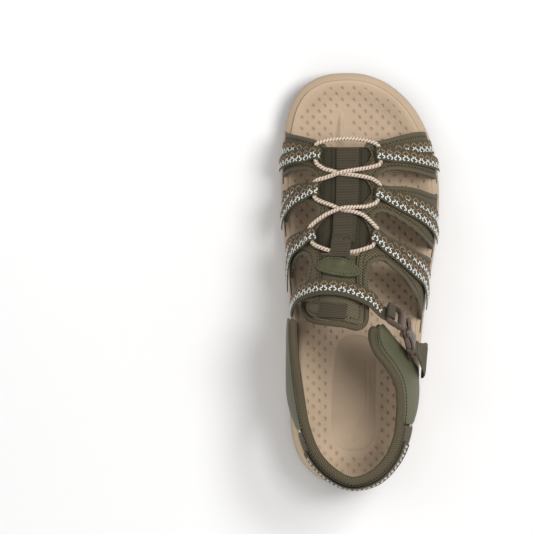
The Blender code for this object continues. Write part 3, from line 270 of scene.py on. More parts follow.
def smooth_path(points, count, closed=False):
    """Points evenly spaced along a Catmull-Rom curve through the given points, of any dimension."""
    points = np.array(points, float)
    if closed:
        padded = np.vstack([points[-1], points, points[:2]])
    else:
        padded = np.vstack([2 * points[0] - points[1], points, 2 * points[-1] - points[-2]])
    fine = []
    t = np.linspace(0, 1, 12, endpoint=False)[:, None]
    for p0, p1, p2, p3 in zip(padded, padded[1:], padded[2:], padded[3:]):
        fine.append(0.5 * (2 * p1 + (p2 - p0) * t + (2 * p0 - 5 * p1 + 4 * p2 - p3) * t ** 2
                           + (3 * p1 - p0 - 3 * p2 + p3) * t ** 3))
    fine = np.vstack(fine + [padded[-2][None]])
    return resampled(fine, count + 1 if closed else count)[:None if not closed else -1]


def distances(points):
    """Distance along a line at each of its points."""
    return np.concatenate([[0], np.cumsum(np.linalg.norm(np.diff(points, axis=0), axis=1))])


def resampled(points, count, columns=None):
    """A line's points, or columns that go with them, at evenly spaced distances."""
    along = distances(points)
    stops = np.linspace(0, along[-1], count)
    columns = np.asarray(points if columns is None else columns)
    return np.column_stack([np.interp(stops, along, c) for c in columns.T])


def loop_area(loop):
    x, y = np.array(loop, float).T
    return 0.5 * float(np.sum(x * np.roll(y, -1) - np.roll(x, -1) * y))


def inset(loop, distance):
    """A closed outline moved inwards by a distance."""
    loop = np.array(loop, float)
    along = unit(np.roll(loop, -1, 0) - np.roll(loop, 1, 0))
    inward = np.column_stack([-along[:, 1], along[:, 0]]) * math.copysign(1, loop_area(loop))
    return loop + inward * distance


def inside(points, loop):
    """For each plan point, whether it is inside a closed outline."""
    x, y = np.asarray(points, float).T
    a = np.array(loop, float)
    b = np.roll(a, -1, 0)
    found = np.zeros(len(x), bool)
    for (ax, ay), (bx, by) in zip(a, b):
        if ay != by:
            found ^= ((ay > y) != (by > y)) & (x < ax + (y - ay) * (bx - ax) / (by - ay))
    return found


def edge_distance(points, loop, closed=True):
    """For each plan point, the distance to the nearest side of an outline."""
    points, a = np.asarray(points, float), np.array(loop, float)
    b = np.roll(a, -1, 0)
    if not closed:
        a, b = a[:-1], b[:-1]
    best = np.full(len(points), 1e9)
    for start, side in zip(a, b - a):
        t = np.clip((points - start) @ side / max(side @ side, 1e-9), 0, 1)
        best = np.minimum(best, np.linalg.norm(points - start - side * t[:, None], axis=1))
    return best


SOLE = smooth_path(SOLE_OUTLINE, 76, closed=True)
STRAP_FOOT = inset(SOLE, STRAP_INSET)


def crossings(loop, y):
    """Lowest and highest X of an outline at one Y."""
    a, b = loop, np.roll(loop, -1, 0)
    rows = (a[:, 1] > y) != (b[:, 1] > y)
    a, b = a[rows], b[rows]
    x = a[:, 0] + (y - a[:, 1]) * (b[:, 0] - a[:, 0]) / (b[:, 1] - a[:, 1])
    return float(x.min()), float(x.max())


FOOT_Y = np.arange(-129.0, 129.0, 0.5)
FOOT_INNER, FOOT_OUTER = np.array([crossings(STRAP_FOOT, y) for y in FOOT_Y]).T


# ---- The sandal's surfaces

def ground_line(y):
    toe = np.maximum(0.0, (y - FLAT_FRONT) / (TOE_END - FLAT_FRONT))
    heel = np.maximum(0.0, (FLAT_BACK - y) / (FLAT_BACK - HEEL_END))
    return TOE_SPRING * toe ** 2 + HEEL_BEVEL * heel ** 2


def ledge(y):
    return table_value(RIM_HEIGHT, y) - RIM_RISE


def instep_side(inner, y):
    """How far the instep reaches from its crest on either side, and its curve's power there."""
    edge = np.where(inner, np.interp(y, FOOT_Y, FOOT_INNER), np.interp(y, FOOT_Y, FOOT_OUTER))
    return edge - CREST_X, np.where(inner, INNER_POWER, OUTER_POWER)


def instep_bare(u, y):
    a = np.clip(u / ARC_UNITS, -0.9995, 0.9995)
    foot = ledge(y) + GAP
    reach, power = instep_side(a < 0, y)
    angle = np.abs(a) * math.pi / 2
    x = CREST_X + reach * np.sin(angle) ** (2 / power)
    z = foot + (table_value(CREST_HEIGHT, y) - foot) * np.cos(angle) ** (2 / power)
    return np.stack([x, y + 0 * x, z], -1)


def instep_normal(u, y):
    u, y = np.asarray(u, float), np.asarray(y, float)
    u = np.clip(u, -ARC_UNITS + 1, ARC_UNITS - 1)
    across = instep_bare(u + 1, y) - instep_bare(u - 1, y)
    along = instep_bare(u, y + 1) - instep_bare(u, y - 1)
    return unit(np.cross(across, along))


def instep(u, y, height=0.0):
    """Points on the arched instep at surface units u across and Y along, raised by a height."""
    u, y = np.asarray(u, float), np.asarray(y, float)
    return instep_bare(u, y) + instep_normal(u, y) * np.asarray(height, float)[..., None]


def to_surface(points):
    """Surface units of points seen from above."""
    x, y = np.asarray(points, float).T
    inner = x < CREST_X
    reach, power = instep_side(inner, y)
    t = np.minimum(1.0, np.abs((x - CREST_X) / reach)) ** (power / 2)
    return np.column_stack([np.where(inner, -1, 1) * ARC_UNITS * np.arcsin(t) * 2 / math.pi, y])


def surface_path(points, spacing):
    """A smooth open line of plan points, as surface units."""
    return to_surface(smooth_path(points, max(3, round(distances(np.array(points, float))[-1] / spacing))))


def collar_bare(span, drop):
    top, bottom = (
        np.stack([table_value(list(enumerate(column)), span) for column in zip(*edge)], -1)
        for edge in (COLLAR_TOP, COLLAR_BOTTOM)
    )
    outward = unit(top * (1, 1, 0) + (6, 80, 0))
    bulge = table_value(COLLAR_BULGE, span) * np.sin(math.pi * drop)
    return top + (bottom - top) * drop[..., None] + outward * bulge[..., None]


def collar_normal(span, drop):
    span, drop = np.broadcast_arrays(np.asarray(span, float), np.asarray(drop, float))
    low, high = np.maximum(0.0, span - 0.05), np.minimum(len(COLLAR_TOP) - 1.0, span + 0.05)
    across = collar_bare(high, drop) - collar_bare(low, drop)
    down = collar_bare(span, drop + 0.02) - collar_bare(span, drop - 0.02)
    return unit(np.cross(across, down))


def collar(span, drop, height=0.0):
    """Points on the heel collar: span counts its points, drop runs from its top edge, 0, to 1."""
    span, drop = np.broadcast_arrays(np.asarray(span, float), np.asarray(drop, float))
    return collar_bare(span, drop) + collar_normal(span, drop) * np.asarray(height, float)[..., None]


BUCKLE_ALONG = unit(np.subtract(BUCKLE_TOWARDS, BUCKLE_START))
BUCKLE_RISE = unit(np.array(BUCKLE_UP) - BUCKLE_ALONG * (BUCKLE_ALONG @ BUCKLE_UP))
BUCKLE_ACROSS = np.cross(BUCKLE_RISE, BUCKLE_ALONG)


def on_buckle(points):
    """World points from (along, across, up) in the buckle's own axes."""
    return BUCKLE_START + np.asarray(points, float) @ np.array([BUCKLE_ALONG, BUCKLE_ACROSS, BUCKLE_RISE])


def on_plug(points):
    """World points of the plug, whose strap frame is bent down towards the instep."""
    s, w, h = np.asarray(points, float).T
    full = math.radians(BUCKLE_BEND)
    radius = (BEND_END - BEND_START) / full
    turn = np.clip((BEND_END - s) / radius, 0, full)
    rest = np.maximum(0.0, BEND_START - s)
    along = np.maximum(s, BEND_END) - radius * np.sin(turn) - rest * math.cos(full) - h * np.sin(turn)
    up = h * np.cos(turn) - radius * (1 - np.cos(turn)) - rest * math.sin(full)
    return on_buckle(np.column_stack([along, w, up]))


# ---- Materials

LIT = 1.08  # how bright a white card lies under the studio's light


def linear(red, green, blue):
    """The surface colour that shows as this display colour, 0 to 255, under the studio's light."""
    parts = [c / 255 for c in (red, green, blue)]
    return tuple((c / 12.92 if c <= 0.04045 else ((c + 0.055) / 1.055) ** 2.4) / LIT for c in parts)


class Shader:
    """A Principled material whose colour, roughness and bump are worked out from nodes."""

    def __init__(self, name, roughness=0.8, **sockets):
        self.material = bpy.data.materials.new(name)
        self.material.use_nodes = True
        self.tree = self.material.node_tree
        self.main = self.tree.nodes["Principled BSDF"]
        self.main.inputs["Roughness"].default_value = roughness
        self.main.inputs["Specular IOR Level"].default_value = 0.25
        for key, value in sockets.items():
            self.main.inputs[key.replace("_", " ")].default_value = value

    def node(self, kind, inputs=(), **settings):
        made = self.tree.nodes.new("ShaderNode" + kind)
        for key, value in settings.items():
            setattr(made, key, value)
        for key, value in dict(inputs).items():
            self.put(made.inputs[key], value)
        return made

    def put(self, socket, value):
        if isinstance(value, bpy.types.NodeSocket):
            self.tree.links.new(value, socket)
        else:
            socket.default_value = value

    def calc(self, operation, *values):
        return self.node("Math", dict(enumerate(values)), operation=operation).outputs[0]

    def share(self, wave):
        """A wave from -1 to 1 brought to 0 to 1."""
        return self.calc("MULTIPLY_ADD", wave, 0.5, 0.5)

    def blend(self, first, weight, second, other):
        return self.calc("MULTIPLY_ADD", first, weight, self.calc("MULTIPLY", second, other))

    def weave(self, u_pitch, v_pitch, shift=None):
        """Where two waves cross, from 0 to 1; shift moves both by a distance."""
        u, v = (c if shift is None else self.calc("ADD", c, shift) for c in self.surface())
        return self.share(self.calc("MULTIPLY", self.wave(u, u_pitch), self.wave(v, v_pitch)))

    def surface(self):
        """The piece's own coordinates in mm: across and along."""
        split = self.node("SeparateXYZ", {0: self.node("UVMap", uv_map="surface").outputs[0]})
        return split.outputs[0], split.outputs[1]

    def wave(self, coordinate, pitch, shift=0.0):
        """A wave from -1 to 1 along a coordinate, one turn for each pitch."""
        return self.calc("SINE", self.calc("MULTIPLY_ADD", coordinate, 2 * math.pi / pitch, shift))

    def noise(self, scale, detail=3.0):
        """Noise from 0 to 1 with about this many features in a metre."""
        place = self.node("TexCoord").outputs["Object"]
        return self.node("TexNoise", {"Vector": place, "Scale": scale, "Detail": detail}).outputs[0]

    def ramp(self, factor, *stops):
        made = self.node("ValToRGB", {0: factor})
        points = made.color_ramp.elements
        while len(points) < len(stops):
            points.new(0.5)
        for point, (position, colour) in zip(points, stops):
            point.position = position
            point.color = (*colour, 1.0)
        return made.outputs[0]

    def mix(self, factor, first, second):
        made = self.node("Mix", data_type="RGBA")
        colours = [s for s in made.inputs if s.type == "RGBA"]
        self.put(made.inputs[0], factor)
        for socket, colour in zip(colours, (first, second)):
            self.put(socket, colour if isinstance(colour, bpy.types.NodeSocket) else (*colour, 1.0))
        return [s for s in made.outputs if s.type == "RGBA"][0]

    def colour(self, value):
        self.put(self.main.inputs["Base Color"], value)

    def rough(self, factor, low, high):
        made = self.node("MapRange", {0: factor, 3: low, 4: high})
        self.put(self.main.inputs["Roughness"], made.outputs[0])

    def bump(self, height, distance, strength=1.0):
        """Relief from a height of 0 to 1 that stands for this many millimetres."""
        made = self.node("Bump", {"Height": height, "Distance": distance * MM, "Strength": strength})
        self.put(self.main.inputs["Normal"], made.outputs[0])


def tinted(colour, factor):
    return tuple(c * factor for c in colour)


def foam(name, colour, roughness, painted_shade=False):
    """Moulded foam: fine pores, and a slow change of tone; with the flag set, the mesh's tone attribute
    darkens it with painted shade.
    """
    made = Shader(name, roughness)
    slow, fine = made.noise(38.0, 4.0), made.noise(1500.0, 2.0)
    tone = made.blend(fine, 0.35, slow, 0.65)
    made.colour(made.ramp(tone, (0.30, tinted(colour, 0.88)), (0.50, colour), (0.72, tinted(colour, 1.08))))
    if painted_shade:
        # Painted shade: where the mesh's tone attribute falls below 1, the colour darkens towards 0.3 of
        # itself.
        base = made.main.inputs["Base Color"].links[0].from_socket
        own = made.node("Attribute", attribute_name="tone").outputs["Fac"]
        made.colour(made.mix(own, tinted(colour, 0.3), base))
    made.rough(slow, roughness - 0.06, roughness + 0.08)
    made.bump(fine, 0.10, 0.6)
    return made.material


def spacer_mesh(name, colour, hole, pitch, roughness=0.9):
    """Open spacer fabric: staggered pores in a raised knit."""
    made = Shader(name, roughness, Sheen_Weight=0.04, Sheen_Roughness=0.6)
    wobble = made.calc("MULTIPLY", made.calc("SUBTRACT", made.noise(240.0, 2.0), 0.5), 0.7)
    height = made.blend(made.noise(2600.0, 2.0), 0.25, made.weave(pitch, pitch * 0.9, wobble), 0.75)
    made.colour(made.ramp(height, (0.20, hole), (0.42, tinted(colour, 0.85)), (0.75, tinted(colour, 1.18))))
    made.bump(height, 0.35, 0.8)
    return made.material


def smooth_cloth(name, colour, roughness=0.65, grain=900.0, relief=0.08):
    """Close smooth cloth or synthetic suede."""
    made = Shader(name, roughness, Sheen_Weight=0.03, Sheen_Roughness=0.5)
    slow, fine = made.noise(60.0, 3.0), made.noise(grain, 3.0)
    tone = made.blend(fine, 0.4, slow, 0.6)
    made.colour(made.ramp(tone, (0.28, tinted(colour, 0.82)), (0.52, colour), (0.78, tinted(colour, 1.16))))
    made.rough(fine, roughness - 0.08, roughness + 0.10)
    made.bump(fine, relief, 0.7)
    return made.material


def woven(name, colour, dark, across_pitch, along_pitch, roughness=0.8, relief=0.15):
    """Plain weave: yarns over and under each other."""
    made = Shader(name, roughness, Sheen_Weight=0.04, Sheen_Roughness=0.5)
    height = made.blend(made.noise(3000.0, 2.0), 0.3, made.weave(across_pitch, along_pitch), 0.7)
    made.colour(made.ramp(height, (0.18, dark), (0.50, colour), (0.85, tinted(colour, 1.25))))
    made.bump(height, relief, 0.8)
    return made.material


def ribbed(name, colour, dark, pitch, lean=0.0, roughness=0.9, relief=0.3, shift=0.0):
    """Rib knit: close ridges across the piece, leaning along it."""
    made = Shader(name, roughness, Sheen_Weight=0.05, Sheen_Roughness=0.5)
    u, v = made.surface()
    rib = made.share(made.wave(made.calc("MULTIPLY_ADD", u, lean, v), pitch, shift))
    height = made.blend(made.share(made.wave(u, 0.7)), 0.18, rib, 0.6)
    height = made.calc("MULTIPLY_ADD", made.noise(2600.0, 2.0), 0.22, height)
    made.colour(made.ramp(height, (0.16, dark), (0.50, colour), (0.88, tinted(colour, 1.2))))
    made.bump(height, relief, 0.8)
    return made.material


def thread(name, colour, roughness=0.6):
    """Twisted yarn."""
    made = Shader(name, roughness, Sheen_Weight=0.05, Sheen_Roughness=0.4)
    fibre = made.noise(4200.0, 2.0)
    made.colour(made.ramp(fibre, (0.25, tinted(colour, 0.7)), (0.55, colour), (0.80, tinted(colour, 1.12))))
    made.bump(fibre, 0.06, 0.7)
    return made.material


def braid(name, colour, fleck):
    """Round elastic braid with dark tracer yarns; the surface's across runs 0 to 1 round the cord."""
    made = Shader(name, 0.75, Sheen_Weight=0.05, Sheen_Roughness=0.4)
    u, v = made.surface()
    pitch, columns = 2.1, 2.0
    column = made.calc("MULTIPLY", u, columns)
    step = made.calc("MULTIPLY", made.calc("MODULO", made.calc("FLOOR", column), 2.0), 0.5)
    along = made.calc("FRACT", made.calc("ADD", made.calc("DIVIDE", v, pitch), step))
    off = made.calc("SUBTRACT", made.calc("FRACT", column), 0.5)
    lean = made.calc("SUBTRACT", made.calc("MULTIPLY_ADD", off, 0.5, along), 0.5)
    near = [made.calc("LESS_THAN", made.calc("ABSOLUTE", c), half) for c, half in ((lean, 0.13), (off, 0.40))]
    dash = made.calc("MULTIPLY", *near)
    left = made.wave(made.calc("MULTIPLY_ADD", u, 5.2, v), 1.3)
    right = made.wave(made.calc("MULTIPLY_ADD", u, -5.2, v), 1.3)
    cross = made.share(made.calc("MULTIPLY", left, right))
    height = made.blend(made.noise(3500.0, 2.0), 0.3, cross, 0.7)
    base = made.ramp(height, (0.15, tinted(colour, 0.62)), (0.5, colour), (0.85, tinted(colour, 1.15)))
    made.colour(made.mix(dash, base, fleck))
    made.bump(height, 0.16, 0.8)
    return made.material


def moulded(name, colour, roughness=0.42, coat=0.1):
    """Moulded plastic with a fine spark-eroded surface."""
    made = Shader(name, roughness, Coat_Weight=coat, Coat_Roughness=0.3)
    slow, fine = made.noise(90.0, 3.0), made.noise(2200.0, 2.0)
    made.colour(made.ramp(slow, (0.3, tinted(colour, 0.9)), (0.7, tinted(colour, 1.08))))
    made.rough(fine, roughness - 0.07, roughness + 0.1)
    made.bump(fine, 0.03, 0.6)
    return made.material


def rubber(name, colour, roughness=0.7):
    """Rubber with scuffed high spots."""
    made = Shader(name, roughness)
    slow, fine = made.noise(110.0, 5.0), made.noise(1300.0, 3.0)
    made.colour(made.ramp(slow, (0.35, tinted(colour, 0.8)), (0.55, colour), (0.75, tinted(colour, 1.4))))
    made.rough(slow, roughness - 0.1, roughness + 0.15)
    made.bump(fine, 0.06, 0.7)
    return made.material


LOOKS = {
    "footbed": foam("footbed_foam", linear(196, 173, 147), 0.72, painted_shade=True),
    "midsole": foam("midsole_foam", linear(188, 167, 142), 0.68),
    "outsole": rubber("outsole_rubber", linear(70, 57, 45)),
    "shank": moulded("shank_nylon", linear(38, 38, 38)),
    "quarter": spacer_mesh("quarter_mesh", linear(98, 89, 68), linear(34, 29, 20), 2.0),
    "edge": smooth_cloth("rolled_edge", linear(88, 81, 62)),
    "inner_edge": smooth_cloth("inner_edge", linear(62, 56, 42)),
    "gore": woven("gore_knit", linear(64, 59, 45), linear(38, 34, 25), 1.5, 1.3, 0.92, 0.25),
    "webbing": ribbed("webbing_grosgrain", linear(78, 70, 56), linear(38, 33, 24), 1.1, shift=-math.pi / 2),
    "anchor": ribbed("anchor_grosgrain", linear(92, 86, 67), linear(48, 44, 32), 1.3, shift=-math.pi / 2),
    "ribbon": woven("ribbon_ground", linear(80, 74, 56), linear(38, 34, 25), 0.8, 0.9),
    "white_yarn": thread("ribbon_white", linear(228, 228, 220)),
    "tan_yarn": thread("ribbon_tan", linear(152, 124, 98)),
    "blue_yarn": thread("ribbon_blue", linear(58, 66, 66)),
    "cord": braid("cord_braid", linear(222, 202, 182), linear(62, 46, 36)),
    "label": rubber("label_rubber", linear(84, 84, 60), 0.6),
    "tongue": spacer_mesh("tongue_mesh", linear(104, 96, 76), linear(48, 42, 30), 1.7),
    "binding": ribbed("binding_knit", linear(96, 87, 67), linear(44, 38, 28), 1.35, 0.5),
    "lining": spacer_mesh("lining_knit", linear(86, 78, 60), linear(48, 42, 30), 1.3),
    "wing": smooth_cloth("wing_fabric", linear(98, 97, 74), 0.6, 1100.0, 0.05),
    "buckle": moulded("buckle_plastic", linear(94, 79, 70)),
    "dark_stitch": thread("stitch_dark", linear(38, 33, 24)),
}


# ---- Builders

def build(name, vertices, faces, looks, surface=None, slots=None, sharp=50, closed=True):
    """A mesh from points in mm; surface gives each point's own (across, along) in mm for the weave."""
    mesh = bpy.data.meshes.new(name)
    mesh.from_pydata((np.asarray(vertices, float) * MM).tolist(), [], [tuple(map(int, f)) for f in faces])
    for look in [looks] if isinstance(looks, str) else looks:
        mesh.materials.append(LOOKS[look])
    if slots is not None:
        mesh.polygons.foreach_set("material_index", np.asarray(slots, np.int32))
    if surface is not None:
        corners = np.empty(len(mesh.loops), np.int32)
        mesh.loops.foreach_get("vertex_index", corners)
        layer = mesh.uv_layers.new(name="surface")
        layer.data.foreach_set("uv", np.asarray(surface, np.float32)[corners].ravel())
    if closed:
        body = bmesh.new()
        body.from_mesh(mesh)
        bmesh.ops.recalc_face_normals(body, faces=body.faces)
        body.to_mesh(mesh)
        body.free()
    mesh.shade_smooth()
    mesh.set_sharp_from_angle(angle=math.radians(sharp))
    made = bpy.data.objects.new(name, mesh)
    bpy.context.scene.collection.objects.link(made)
    return made


def place(piece, body, slot, *nodes):
    """Gives a piece its body and hides the CAD nodes that it stands for; slot, for its finish, is not used.
    """
    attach(piece, body)
    if nodes:
        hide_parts(*nodes)
    return piece


def grid_faces(rows, columns, wrap=False, start=0):
    """Four-sided faces of a grid of points, which may close round its columns."""
    i, j = np.meshgrid(np.arange(rows - 1), np.arange(columns if wrap else columns - 1), indexing="ij")
    i, j = i.ravel(), j.ravel()
    i2, j2 = i + 1, (j + 1) % columns
    return np.column_stack([i * columns + j, i * columns + j2, i2 * columns + j2, i2 * columns + j]) + start


def tube_faces(rows, columns, start=0):
    """Faces of an open grid that closes round its columns, with a cap on its first and last row."""
    faces = [tuple(f) for f in grid_faces(rows, columns, True, start)]
    last = start + (rows - 1) * columns
    return faces + [tuple(range(start, start + columns)), tuple(range(last, last + columns))]


def plate(name, top, low, rows, columns, look, surface):
    """A plate from an upper grid of points, a lower one, and the wall round both."""
    count = rows * columns
    faces = [tuple(f) for f in grid_faces(rows, columns)]
    faces += [tuple(f[::-1]) for f in grid_faces(rows, columns, start=count)]
    border = list(range(columns)) + [i * columns + columns - 1 for i in range(1, rows)]
    border += [(rows - 1) * columns + j for j in range(columns - 2, -1, -1)]
    border += [i * columns for i in range(rows - 2, 0, -1)]
    faces += [(i, j, j + count, i + count) for i, j in zip(border, border[1:] + border[:1])]
    points = np.vstack([top.reshape(-1, 3), low.reshape(-1, 3)])
    return build(name, points, faces, look, np.vstack([surface, surface]))


def directions(centres):
    return unit(np.gradient(np.array(centres, float), axis=0))


def paired(across, along):
    """A grid's own coordinates in mm, from those of its rows and its columns."""
    return np.stack(np.broadcast_arrays(across, along), -1).reshape(-1, 2)


def swept(centres, across, up, profile):
    """A profile's points at each centre, by row."""
    return centres[:, None] + across[:, None] * profile[..., :1] + up[:, None] * profile[..., 1:]


def tube(name, centres, across, up, profile, look, domed=0, cyclic_surface=False):
    """A bar: a profile of (across, up) offsets, one or one for each centre, carried along the centres."""
    centres, across, up = (np.asarray(a, float) for a in (centres, across, up))
    profile = np.asarray(profile, float)
    if profile.ndim == 2:
        profile = np.repeat(profile[None], len(centres), 0)
    if domed:
        way = directions(centres)
        size = np.abs(profile[0]).max()
        turns = np.linspace(0, math.pi / 2, domed + 1)[1:]
        shrink = [max(0.05, math.cos(t)) for t in turns]
        first = [centres[0] - way[0] * size * math.sin(t) for t in turns[::-1]]
        last = [centres[-1] + way[-1] * size * math.sin(t) for t in turns]
        small = [[profile[0] * s for s in shrink[::-1]], [profile[-1] * s for s in shrink]]
        profile = np.concatenate([small[0], profile, small[1]])
        centres = np.concatenate([first, centres, last])
        across, up = (np.concatenate([[a[0]] * domed, a, [a[-1]] * domed]) for a in (across, up))
    points = swept(centres, across, up, profile)
    rows, columns = points.shape[:2]
    around = distances(np.vstack([profile[rows // 2], profile[rows // 2][:1]]))[:-1]
    if cyclic_surface:
        around = 1 - np.abs(np.arange(columns) / columns * 2 - 1)
    along = distances(centres)
    return build(name, points.reshape(-1, 3), tube_faces(rows, columns), look, paired(around, along[:, None]))


def ellipse(width, height, count=12, power=1.0):
    t = 2 * math.pi * (np.arange(count) + 0.5) / count
    pairs = ((width, np.cos(t)), (height, np.sin(t)))
    return np.column_stack([size / 2 * np.sign(v) * np.abs(v) ** power for size, v in pairs])


def edge_curve(share, depth=1.0):
    """How a rounded edge rises to 1 over its width; depth is how far it falls at the very edge."""
    return np.sqrt(1 - (1 - np.clip(share, 0, 1)) ** 2 * depth)


def strap_profile(width, thickness, count=14, edge=0.8):
    """A flat bar with rounded edges and many points across, for a strap that bends."""
    x = np.linspace(-width / 2, width / 2, count)
    y = thickness / 2 * edge_curve((width / 2 - np.abs(x)) / edge, 0.9)
    return np.column_stack([np.concatenate([x, x[::-1]]), np.concatenate([y, -y[::-1]])])


def on_instep(line, height):
    """Points over a line of surface units at a height off the instep, and the instep's normals there."""
    return instep(*np.asarray(line).T, height), instep_normal(*np.asarray(line).T)


def turned_to(vectors, index, way):
    """Directions along a strip, all turned over if the one at an index points away from a given way."""
    return -vectors if vectors[index] @ np.asarray(way, float) < 0 else vectors


def framed(centres, normals):
    """Across and up directions of a line that lies on a surface."""
    way = directions(centres)
    across = unit(np.cross(normals, way))
    return across, unit(np.cross(way, across))


def flat_mesh(outline, spacing, holes=()):
    """Triangles over an outline in two surface units, with holes, and a rim of edges round them."""
    loops = [np.array(outline, float)] + [np.array(hole, float) for hole in holes]
    low, high = loops[0].min(0), loops[0].max(0)
    grid = []
    for row, v in enumerate(np.arange(low[1] + spacing / 2, high[1], spacing * 0.87)):
        u = np.arange(low[0] + spacing / (1 + row % 2), high[0], spacing)
        grid.append(np.column_stack([u, np.full(len(u), v)]))
    grid = np.vstack(grid)
    keep = inside(grid, loops[0])
    for hole in loops[1:]:
        keep &= ~inside(grid, hole)
    grid = grid[keep]
    clear = np.min([edge_distance(grid, loop) for loop in loops], axis=0)
    grid = grid[clear > spacing * 0.45]
    sides, start = [], 0
    for loop in loops:
        sides += [(start + i, start + (i + 1) % len(loop)) for i in range(len(loop))]
        start += len(loop)
    points = [Vector(p) for p in np.vstack([*loops, grid])]
    flat, _, triangles, *_ = geometry.delaunay_2d_cdt(points, sides, [], 0, 1e-6)
    flat, triangles = np.array([tuple(p) for p in flat]), np.array([tuple(t) for t in triangles])
    middles = flat[triangles].mean(1)
    keep = inside(middles, loops[0])
    for hole in loops[1:]:
        keep &= ~inside(middles, hole)
    return flat, triangles[keep]


def sheet(name, outline, upper, lower, look, spacing=1.4, holes=(), sharp=50):
    """A closed plate over an outline: upper and lower map surface units to points."""
    flat, kept = flat_mesh(outline, spacing, holes)
    count = len(flat)
    vertices = np.vstack([upper(*flat.T), lower(*flat.T)])
    faces = [tuple(t) for t in kept] + [tuple(t[::-1] + count) for t in kept]
    edges = {(int(t[i]), int(t[(i + 1) % 3])) for t in kept for i in range(3)}
    faces += [(i, i + count, j + count, j) for i, j in edges if (j, i) not in edges]
    return build(name, vertices, faces, look, np.vstack([flat, flat]), sharp=sharp)


def stitches(name, lines, slot, length=1.5, gap=1.0, width=0.55, height=0.4):
    """Sewn stitches along lines of (points, normals); each is a small rounded bead of thread."""
    rings = [(-0.5, 0.35), (-0.3, 0.85), (0.0, 1.0), (0.3, 0.85), (0.5, 0.35)]
    turns = 2 * math.pi * np.arange(6) / 6
    bead = np.array([(x * length, r * width / 2 * math.cos(t), r * height / 2 * math.sin(t))
                     for x, r in rings for t in turns])
    bead_faces = tube_faces(len(rings), 6)
    vertices, faces = [], []
    for points, normals in lines:
        points = np.asarray(points, float)
        count = max(2, int(distances(points)[-1] / (length + gap)))
        spots, rises = resampled(points, count), resampled(points, count, normals)
        across, up = framed(spots, rises)
        way = directions(spots)
        for spot, w, a, u in zip(spots, way, across, up):
            start = len(vertices)
            vertices += list(spot + bead @ np.array([w, a, u]))
            faces += [tuple(i + start for i in f) for f in bead_faces]
    place(build(name, vertices, faces, "dark_stitch"), "sandal", slot)


# ---- Camera, light and floor

CAMERA_X, CAMERA_Y, CAMERA_Z = -59.07, 7.98, 12000.0
VIEW_WIDTH, VIEW_LEVEL = 341.0, 40.0  # the picture is this wide at this height above the floor
SENSOR = 36.0


def build_camera():
    data = bpy.data.cameras.new("camera")
    data.sensor_width = SENSOR
    data.lens = (CAMERA_Z - VIEW_LEVEL) * SENSOR / VIEW_WIDTH
    camera = bpy.data.objects.new("camera", data)
    camera.location = Vector((CAMERA_X, CAMERA_Y, CAMERA_Z)) * MM
    bpy.context.scene.collection.objects.link(camera)
    bpy.context.scene.camera = camera


def area_light(name, place_mm, aim_mm, size, energy):
    data = bpy.data.lights.new(name, "AREA")
    data.shape, data.size, data.energy = "DISK", size, energy
    light = bpy.data.objects.new(name, data)
    light.location = Vector(place_mm) * MM
    light.rotation_euler = (Vector(aim_mm) - Vector(place_mm)).to_track_quat("-Z", "Y").to_euler()
    bpy.context.scene.collection.objects.link(light)


def build_studio():
    world = bpy.data.worlds.new("studio")
    world.use_nodes = True
    world.node_tree.nodes["Background"].inputs[0].default_value = (1.0, 0.99, 0.98, 1.0)
    world.node_tree.nodes["Background"].inputs[1].default_value = 0.46
    bpy.context.scene.world = world
    bpy.context.scene.view_settings.view_transform = "Standard"
    area_light("key", (620, 300, 1400), (0, 0, 40), 0.7, 17.0)
    area_light("fill", (-900, 300, 1200), (0, 0, 40), 1.2, 4.0)
    area_light("rear", (-200, -1100, 900), (0, 0, 40), 0.8, 1.6)
    size = 3000.0
    corners = [(-size, -size, 0), (size, -size, 0), (size, size, 0), (-size, size, 0)]
    paper = Shader("paper", 0.9)
    paper.colour(paper.ramp(paper.noise(3.0), (0.3, (0.86, 0.86, 0.86)), (0.7, (0.88, 0.88, 0.88))))
    LOOKS["paper"] = paper.material
    build("floor", corners, [(0, 1, 2, 3)], "paper", closed=False)


# ---- Sole

def ring_shell(name, outline, stations, look, sharp=50):
    """A closed body from rings round the sole: each station is (inset, height as a function of Y)."""
    rings = []
    for distance, height in stations:
        ring = inset(outline, distance)
        rings.append(np.column_stack([ring, height(ring[:, 1])]))
    count = len(outline)
    along = distances(outline)
    across = distances(np.array([(d, h(np.array(0.0))) for d, h in stations], float))
    faces = tube_faces(len(rings), count)
    return build(name, np.vstack(rings), faces, look, paired(across[:, None], along), sharp=sharp)


PIT_ACROSS, PIT_ALONG, PIT_RADIUS, PIT_DEPTH = 7.4, 3.7, 1.15, 1.3
PIT_SHADE, PANEL_SHADE = 0.15, 0.22  # how much painted shade darkens the pits and the heel panel
LIP_WIDTH, LIP_DROP = 1.2, 0.45
RIDGE_X, RIDGE_TIP, RIDGE_HEIGHT = -11.6, 108.5, 1.9  # the toe grip
PANEL_DEPTH, LINE_DEPTH, LINE_WIDTH = 0.8, 0.35, 0.42
PANEL = smooth_path([(-4, -35), (8, -39), (11.5, -55), (11.2, -80), (10.5, -98), (5, -107.5), (-4, -109.5),
                     (-13, -107.5), (-18.3, -98), (-18.8, -80), (-17.5, -58), (-13.5, -40)], 60, closed=True)
HEEL_LINES = [
    smooth_path([(-4.5, -103), (2, -96), (6.5, -86), (8, -72), (7.2, -58)], 24),
    smooth_path([(-4.5, -103), (-2, -94), (3, -85), (4.5, -72), (3.6, -52)], 24),
]


